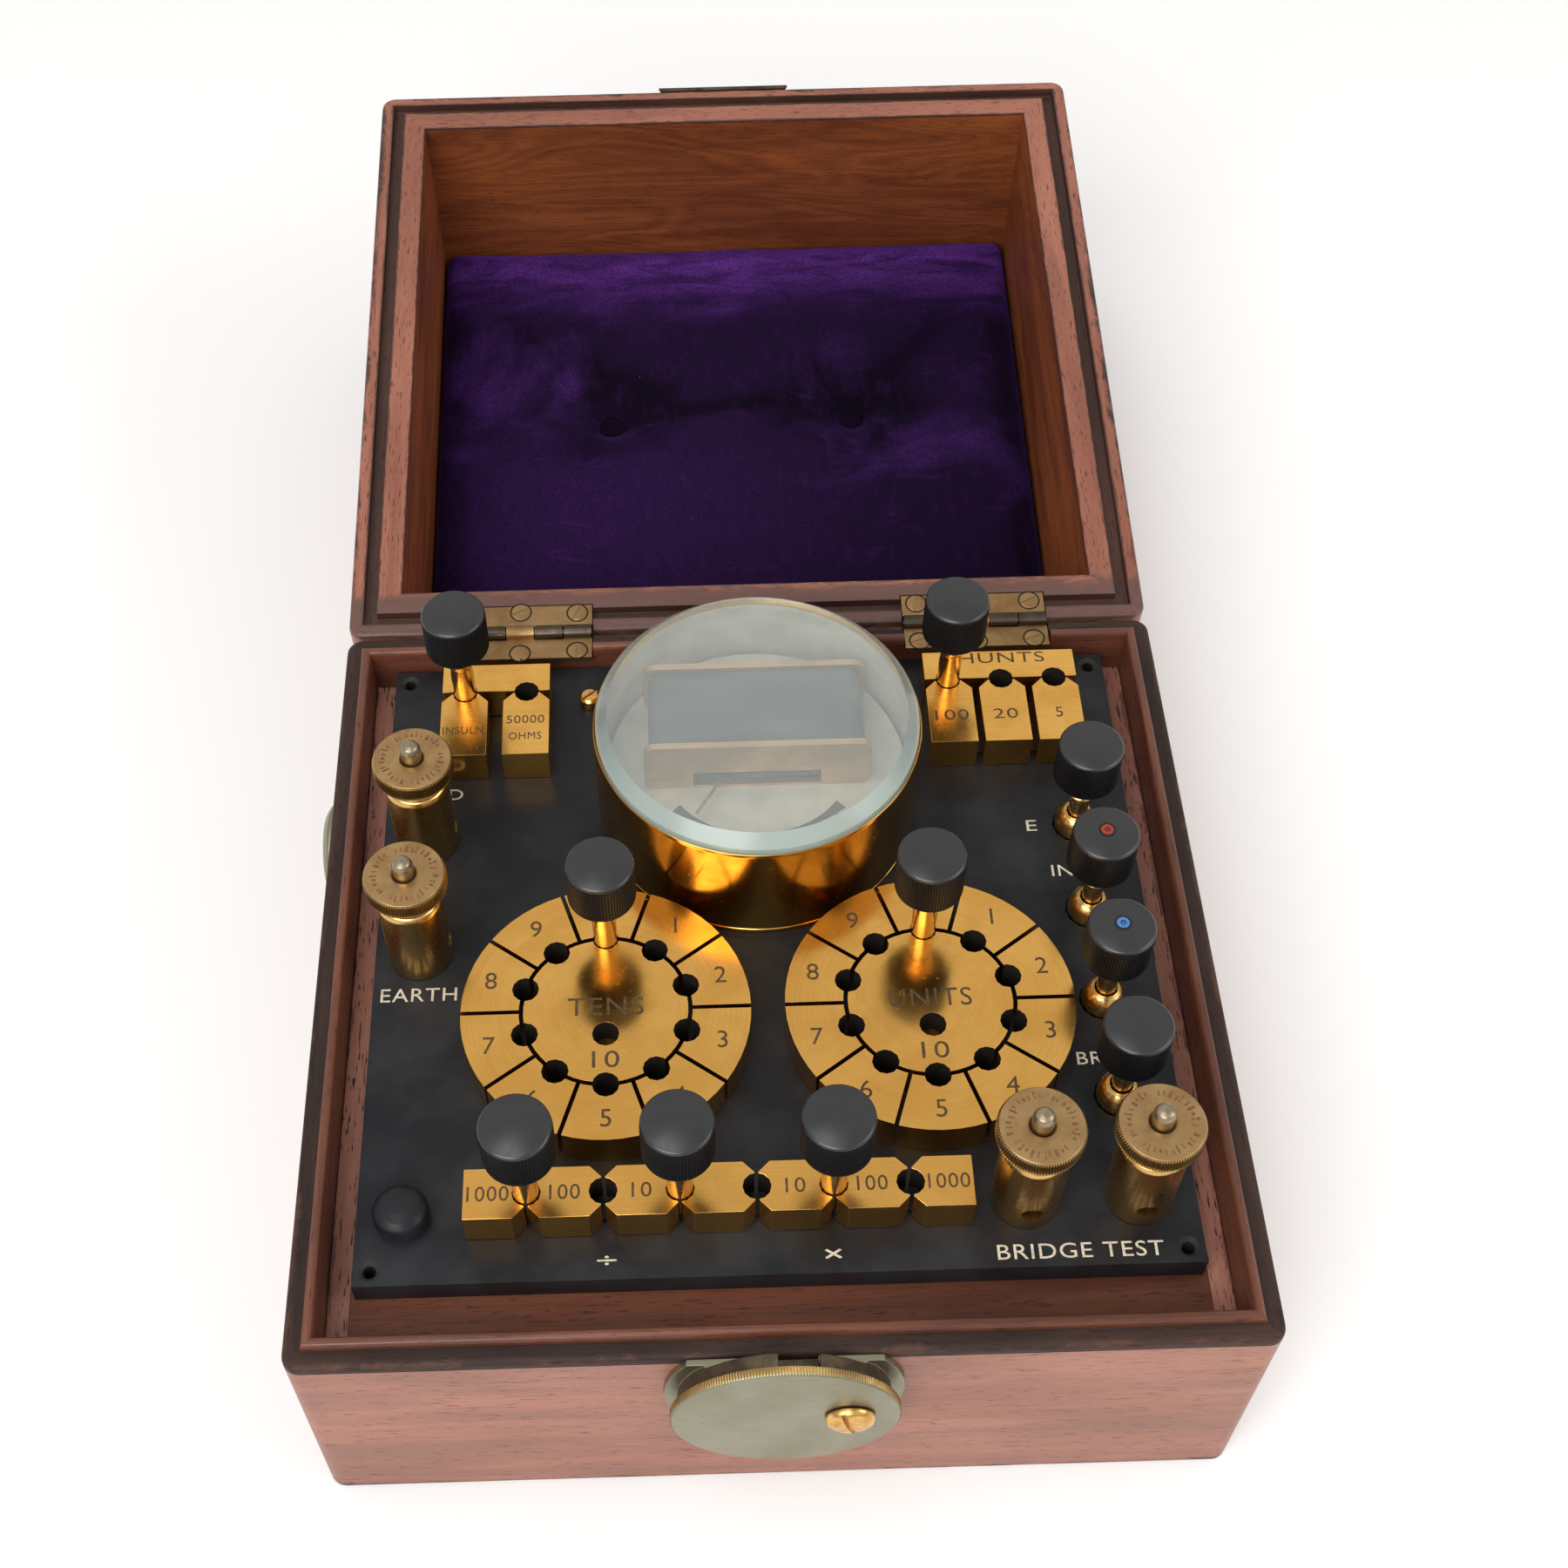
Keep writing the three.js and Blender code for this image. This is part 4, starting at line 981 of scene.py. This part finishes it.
for name, tint in (("key_2", "red_inlay"), ("key_3", "blue_inlay")):
    inlay = lathe([
        (0, [(0, 29.2), (1.75, 29.2), (1.75, 29.42), (1.3, 29.43)]),
        (1, [(1.3, 29.43), (1.3, 29.47), (1.2, 29.5), (0.55, 29.5)]),
        (0, [(0.55, 29.5), (0.5, 29.45), (0.3, 29.45)]),
        (1, [(0.3, 29.45), (0.25, 29.49), (0, 29.49)]),
    ], around=40, ease=0.02)
    beside(f"{name}_inlay", inlay, f"hole_shadow {tint}", name, over(name, DECK))

clamp = lathe([
    (1, [(0, -10), (1.5, -10), (1.5, 1.6)]),
    (0, [(1.5, 1.6), (5.1, 1.6), (5.6, 2.2), (5.6, 4.6), (5.2, 5.6), (4, 6.6), (2.2, 7.15), (0, 7.3)]),
], around=72, ease=0.4)
show("clamp_knob", clamp, "ebonite turned_brass", "clamp_button", over("clamp_button", DECK))

# ---- galvanometer

GALV_SPOT = over("galv_drum", 0)
GLASS_TOP = node_box("galv_glass")[1].z
SEAT, GLASS_EDGE, BEVEL = 86.8, 34.85, 2.6
drum = lathe([
    (0, [(33.8, LAID), (35.5, LAID), (35.5, 60.9), (35.2, 61.1), (35.5, 61.4), (35.5, 87.6), (35.35, 88.3),
         (35.15, 88.4), (35.05, SEAT), (32.9, SEAT)]),
    (1, [(32.9, SEAT), (32.9, SEAT - 1.2), (33.8, SEAT - 1.3), (33.8, LAID)]),
], around=192, ease=0.15)
show("galvanometer_drum", drum, "drum_brass silvered_dial", "galv_drum", GALV_SPOT)
pane = lathe([
    (0, [(0, SEAT + 0.05), (GLASS_EDGE - 0.3, SEAT + 0.05)]),
    (1, [(GLASS_EDGE - 0.3, SEAT + 0.05), (GLASS_EDGE, SEAT + 0.3), (GLASS_EDGE, 89.7),
         (GLASS_EDGE - BEVEL, GLASS_TOP)]),
    (0, [(GLASS_EDGE - BEVEL, GLASS_TOP), (0, GLASS_TOP)]),
], around=192, ease=0.12)
show("galvanometer_glass", pane, "glass glass_bevel", "galv_glass", GALV_SPOT, sharp=25)
side_screw = slotted_head(2.4, 2.6, dome=0.7, depth=0.62)
beside("side_screw", side_screw, "screw_brass", "galv_drum", at(-37.6, 72.6, LAID + 0.4, 0.7))

PIVOT = node_middle("galv_coil")
CARD_TOP = 70
card = lathe([
    (1, [(0, LAID), (6, LAID), (6, 68.4), (33, 68.4)]),
    (0, [(33, 68.4), (33, CARD_TOP), (0, CARD_TOP)]),
], around=160, ease=0.1)
show("dial_card", card, "silvered_dial turned_brass", "galv_dial_card", GALV_SPOT)
point = turned_shape([(0, CARD_TOP - 0.2), (0.5, CARD_TOP - 0.2), (0.5, 72.4), (0, 73.2)],
                     around=24, ease=0.1)
beside("pivot_point", point, "blued_steel", "galv_dial_card", over("galv_coil", 0), slot="blued_steel")
refined("coil_winding", "galv_coil", "silk_winding", 0.3, soft_ends=(3.6, 23.5, 82.9))
refined("coil_cheeks", "galv_coil_frame", "cheek_brass", 0.15)
refined("needle_and_magnet", "galv_needle", "blued_steel", 0.06)

SCALE_LOW, SCALE_HIGH = CARD_TOP + 0.01, CARD_TOP + 0.05


def arc_strip(inner, outer, reach, taper, steps=48):
    """A flat ring segment, reach degrees to each side of the front. taper thins its middle."""
    build = bmesh.new()
    rows = []
    for i in range(steps + 1):
        t = i / steps
        angle = radians(-reach + 2 * reach * t)
        pinch = taper * (1 - abs(2 * t - 1) ** 3)
        row = []
        for radius in (inner + pinch, outer - pinch):
            x, y = PIVOT.x + radius * sin(angle), PIVOT.y - radius * cos(angle)
            row += [build.verts.new((x * MM, y * MM, level * MM)) for level in (SCALE_LOW, SCALE_HIGH)]
        rows.append([row[0], row[2], row[3], row[1]])
    skin(build, rows, [0] * steps)
    for row in (rows[0], rows[-1]):
        build.faces.new(row[::-1])
    return closed(build)


def scale_marks():
    build = bmesh.new()
    for degrees in range(-40, 41, 5):
        length = 3 if degrees % 20 == 0 else 1.9
        tick = prism(box_outline(-0.12, 0.12, -25.2 - length, -25.2), SCALE_LOW, SCALE_HIGH)
        bmesh.ops.transform(tick, matrix=over("galv_coil", 0, radians(degrees)), verts=tick.verts)
        merge(build, as_mesh(tick))
    return as_mesh(build)


arc = arc_strip(23.7, 26.5, 46, 1.05)
beside("scale_arc", arc, "scale_ink", "galv_dial_card", weighted=False)
beside("scale_ticks", scale_marks(), "scale_ink", "galv_dial_card", weighted=False)
refined("coil_board", "resistance_coils", "varnished_board", 0.2)

# ---- lettering

LETTER_THICK = 0.02


def lettering(name, words, z, wax, node, bold=0):
    """words is a list of (text, x, y, cap height, width or None); each is centred at x, y."""
    build = bmesh.new()
    for text, x, y, cap, width in words:
        curve = bpy.data.curves.new("letters", "FONT")
        curve.body = text
        curve.align_x = curve.align_y = "CENTER"
        curve.size = cap / 0.7 * MM
        curve.extrude = LETTER_THICK * MM / 2
        curve.offset = bold * MM
        curve.resolution_u = 4
        curve.space_character = 1.08
        holder = linked("letters", curve)
        bpy.context.view_layer.update()
        mesh = evaluated(holder)
        xs, ys = [v.co.x for v in mesh.vertices], [v.co.y for v in mesh.vertices]
        squeeze = width * MM / (max(xs) - min(xs)) if width else 1
        centre = Matrix.Translation((-(max(xs) + min(xs)) / 2, -(max(ys) + min(ys)) / 2, 0))
        mesh.transform(at(x, y, z + LETTER_THICK / 2) @ Matrix.Diagonal((squeeze, 1, 1, 1)) @ centre)
        merge(build, mesh)
        bpy.data.objects.remove(holder)
        bpy.data.curves.remove(curve)
    mesh = as_mesh(build)
    mesh.materials.clear()
    beside(name, mesh, wax, node, weighted=False)


DIGIT_CIRCLE = 25.1
engraved = [
    ("INSULN", -65.9, 58.2, 2.1, 9.2), ("50000", -51.8, 61, 2.3, 8.6), ("OHMS", -51.8, 56.2, 2.1, 7.4),
    ("SHUNTS", 56.6, 75.4, 3.1, 23), ("100", 45.2, 58.8, 2.9, 7.6), ("20", 57.4, 58.8, 2.9, 5.6),
    ("5", 69.6, 58.8, 2.9, None),
]
for x, title, width in ((-DIAL_X, "TENS", 15.7), (DIAL_X, "UNITS", 17.2)):
    engraved += [(title, x, DIAL_Y + 0.8, 4.3, width), ("10", x, DIAL_Y - 11.7, 3.9, 5.6)]
    for digit in range(10):
        off_x, off_y = tenth(digit, DIGIT_CIRCLE)
        engraved.append((str(digit), x + off_x, DIAL_Y + off_y, 4, None))
for place, text in ((-3, "1000"), (-2, "100"), (-1, "10"), (1, "10"), (2, "100"), (3, "1000")):
    engraved.append((text, RATIO_X + place * RATIO_PITCH, RATIO_Y, 3.2, {4: 8.2, 3: 6, 2: 3.9}[len(text)]))
lettering("brass_engraving", engraved, BLOCK_TOP + 0.005, "black_wax", "tens_hub")

painted = [("EARTH", -73.6, -6.2, 3.3, 16.2), ("LEAD", -72.3, 46.8, 3, 12), ("E", 61.3, 33.6, 3, 2.3),
           ("IN", 66.6, 21.2, 3, 4.6), ("BR", 66.4, -26.2, 3, 5.4), ("÷", -33.7, -68.2, 3.4, 3.8),
           ("×", 10.6, -68.2, 3.4, 3.4), ("BRIDGE TEST", 58.9, -68.95, 3.2, 32.6)]
lettering("panel_lettering", painted, DECK + 0.005, "cream_wax", "panel", bold=0.005)

# ---- velvet pad

PAD_FACE, PAD_BACK = 110.6, 119.3
PAD_X, PAD_Y = 82, 77.5
PAD_MOST = (82.62, 78.12)
BUTTONS = ((-33.6, -13), (33.6, -13))
CROWN_CAP = 2.6
CLOTH = dict(quality=5, mass=0.15, use_pressure=True, uniform_pressure_force=4, tension_stiffness=12,
             compression_stiffness=12, bending_stiffness=0.6, vertex_group_mass="held")
CLOTH_FRAMES = 20


def swell(pad, even):
    """Moves the corners of even to where the pressed cloth settles, by CROWN_CAP at most."""
    held = pad.vertex_groups.new(name="held")
    for v in even.vertices:
        near_button = min(hypot(v.co.x / MM - x, v.co.y / MM - y) for x, y in BUTTONS)
        if v.co.z > (PAD_BACK - 2) * MM:
            held.add([v.index], 1, "REPLACE")
        elif near_button < 4.5:
            held.add([v.index], 0.85, "REPLACE")
    cloth = pad.modifiers.new("cloth", "CLOTH")
    for key, value in CLOTH.items():
        setattr(cloth.settings, key, value)
    cloth.settings.effector_weights.gravity = 0
    cloth.collision_settings.use_collision = False
    for step in range(1, CLOTH_FRAMES + 1):
        bpy.context.scene.frame_set(step)
    swollen = evaluated(pad)
    moved = [v.co.copy() for v in swollen.vertices]
    bpy.context.scene.frame_set(1)
    pad.modifiers.clear()
    pad.vertex_groups.clear()
    for v, end in zip(even.vertices, moved):
        shift = end - v.co
        if shift.length > CROWN_CAP * MM:
            shift = shift.normalized() * CROWN_CAP * MM
        v.co = v.co + shift
    bpy.data.meshes.remove(swollen)


def bulged_pad():
    """The stuffed pad: a slab swollen by a cloth simulation, then drawn in at its two buttons."""
    slab = rounded(prism(box_outline(-PAD_X, PAD_X, -PAD_Y, PAD_Y), PAD_FACE, PAD_BACK), 2, segments=3)
    pad = linked("velvet_cushion", as_mesh(slab))
    voxels = pad.modifiers.new("voxels", "REMESH")
    voxels.mode = "VOXEL"
    voxels.voxel_size = 4 * MM
    even = evaluated(pad)
    pad.modifiers.clear()
    pad.data = even
    swell(pad, even)
    finer = pad.modifiers.new("finer", "SUBSURF")
    finer.levels = finer.render_levels = 1
    fine = evaluated(pad)
    pad.modifiers.clear()
    pad.data = fine
    for v in fine.vertices:
        v.co = [c * MM for c in shaped_velvet(*(c / MM for c in v.co))]
    bpy.data.meshes.remove(even)
    bpy.data.objects.remove(pad)
    fine.materials.clear()
    return fine


def rumple(*place):
    return noise.noise(Vector(place))


def shaped_velvet(x, y, z):
    """A point of the pad, drawn in at the buttons, creased outwards from them and kept inside the lid."""
    depth = (PAD_BACK - z) / (PAD_BACK - PAD_FACE)
    if depth > 0.35:
        share = min(1, (depth - 0.35) / 0.3)
        lift = 0
        for bx, by in BUTTONS:
            reach, angle = hypot(x - bx, y - by), atan2(y - by, x - bx)
            lift += 4.2 * exp(-((reach / 5) ** 2)) + 1.6 * exp(-((reach / 15) ** 2))
            crease = cos(angle * 5 + bx * 0.3 + 1.1 * rumple(reach * 0.08, bx, 0))
            lift += 0.9 * max(0, crease) ** 8 * exp(-(((reach - 13) / 11) ** 2))
        fold = (y + 14 + 3 * sin(x * 0.055 + 0.6)) / 2.6
        lift += 1 * exp(-(fold ** 2)) * exp(-(((x + 4) / 70) ** 4))
        lift += 0.45 * rumple(x * 0.045, y * 0.06, 3) + 0.16 * rumple(x * 0.2, y * 0.16, 9)
        pull = exp(-((max(min(82.6 - abs(x), 78.1 - abs(y)), 0) / 2.6) ** 2))
        lift += pull * (0.3 + 0.6 * (0.5 + 0.5 * rumple(x * 0.12, y * 0.12, 21)))
        z += lift * share
    x, y = (max(-most, min(most, value * 1.006)) for value, most in zip((x, y), PAD_MOST))
    return x, y, max(107.9, min(119.45, z))


cushion = show("velvet_cushion", bulged_pad(), "velvet", "velvet_pad", LID_OPEN, sharp=180, weighted=False)
button = turned_shape([(0, -1.2), (3.4, -1.2), (3.9, -0.4), (3.6, 0.7), (2.4, 1.45), (0, 1.7)],
                      around=40, ease=0.4)
for index, (x, y) in enumerate(BUTTONS):
    beside(f"pad_button_{index}", button, "button_cloth", "velvet_pad", LID_OPEN @ at(x, y, 115.4) @ TIP_OVER)

# ---- stage

paint = Paint("floor", (0.86, 0.86, 0.86), Roughness=0.9, Specular_IOR_Level=0.1)
paint.mix(paint.cloud(2, 300), (0.88, 0.88, 0.88))
paint.done()
sheet = bmesh.new()
sheet.faces.new([sheet.verts.new((x, y, 0)) for x, y in box_outline(-4, 4, -4, 4)])
floor = linked("floor", as_mesh(sheet))
finish(floor.data, "floor")

SOFTBOXES = {
    "key_softbox": ((-0.55, -1, 1.15), (0, 0.05, 0.04), 1.1, 0.9, 17),
    "right_softbox": ((1.3, -0.3, 0.9), (0, 0.05, 0.05), 0.9, 0.8, 6),
    "top_softbox": ((-0.3, -0.1, 1.7), (0, 0.05, 0.05), 0.8, 0.6, 4),
}
for name, (place, target, width, height, power) in SOFTBOXES.items():
    lamp = bpy.data.lights.new(name, "AREA")
    lamp.shape = "RECTANGLE"
    lamp.size, lamp.size_y = width, height
    lamp.energy = power
    holder = linked(name, lamp)
    holder.location = place
    holder.rotation_mode = "QUATERNION"
    holder.rotation_quaternion = (Vector(target) - Vector(place)).to_track_quat("-Z", "Y")

scene = bpy.context.scene
world = bpy.data.worlds.new("studio")
scene.world = world
world.use_nodes = True
nodes, links = world.node_tree.nodes, world.node_tree.links
parts_of = nodes.new("ShaderNodeSeparateXYZ")
links.new(nodes.new("ShaderNodeTexCoord").outputs["Generated"], parts_of.inputs[0])
combined = nodes.new("ShaderNodeMath")
combined.operation = "SUBTRACT"
WALL_GLOW, OVERHEAD_DIP = (-0.1, 0.74, 0.45, 0.84), (0.74, 0.93, 0, 0.24)
for socket, numbers in zip(combined.inputs, (WALL_GLOW, OVERHEAD_DIP)):
    ramp = nodes.new("ShaderNodeMapRange")
    for key, number in zip(("From Min", "From Max", "To Min", "To Max"), numbers):
        ramp.inputs[key].default_value = number
    links.new(parts_of.outputs["Z"], ramp.inputs["Value"])
    links.new(ramp.outputs["Result"], socket)
links.new(combined.outputs[0], nodes["Background"].inputs["Strength"])
nodes["Background"].inputs["Color"].default_value = (1, 0.985, 0.96, 1)
scene.view_settings.view_transform = "Standard"
scene.view_settings.look = "None"
scene.view_settings.exposure = 0

# ---- camera

CAMERA = Vector((-15.1, -244.6, 444.98)) * MM
YAW, PITCH, ROLL = (radians(a) for a in (0.723, 53.926, -1.041))
ahead = Vector((sin(YAW) * cos(PITCH), cos(YAW) * cos(PITCH), -sin(PITCH)))
right = Vector((cos(YAW), -sin(YAW), 0))
above = right.cross(ahead)
tilted_right = right * cos(ROLL) + above * sin(ROLL)
tilted_up = above * cos(ROLL) - right * sin(ROLL)
lens = bpy.data.cameras.new("camera")
lens.sensor_width, lens.lens = 36, 48.818
lens.shift_x, lens.shift_y = 0.05, 0.0267
lens.clip_start, lens.clip_end = 0.01, 20
camera = linked("camera", lens)
turn = Matrix((tilted_right, tilted_up, -ahead)).transposed().to_4x4()
camera.matrix_world = Matrix.Translation(CAMERA) @ turn
scene.camera = camera
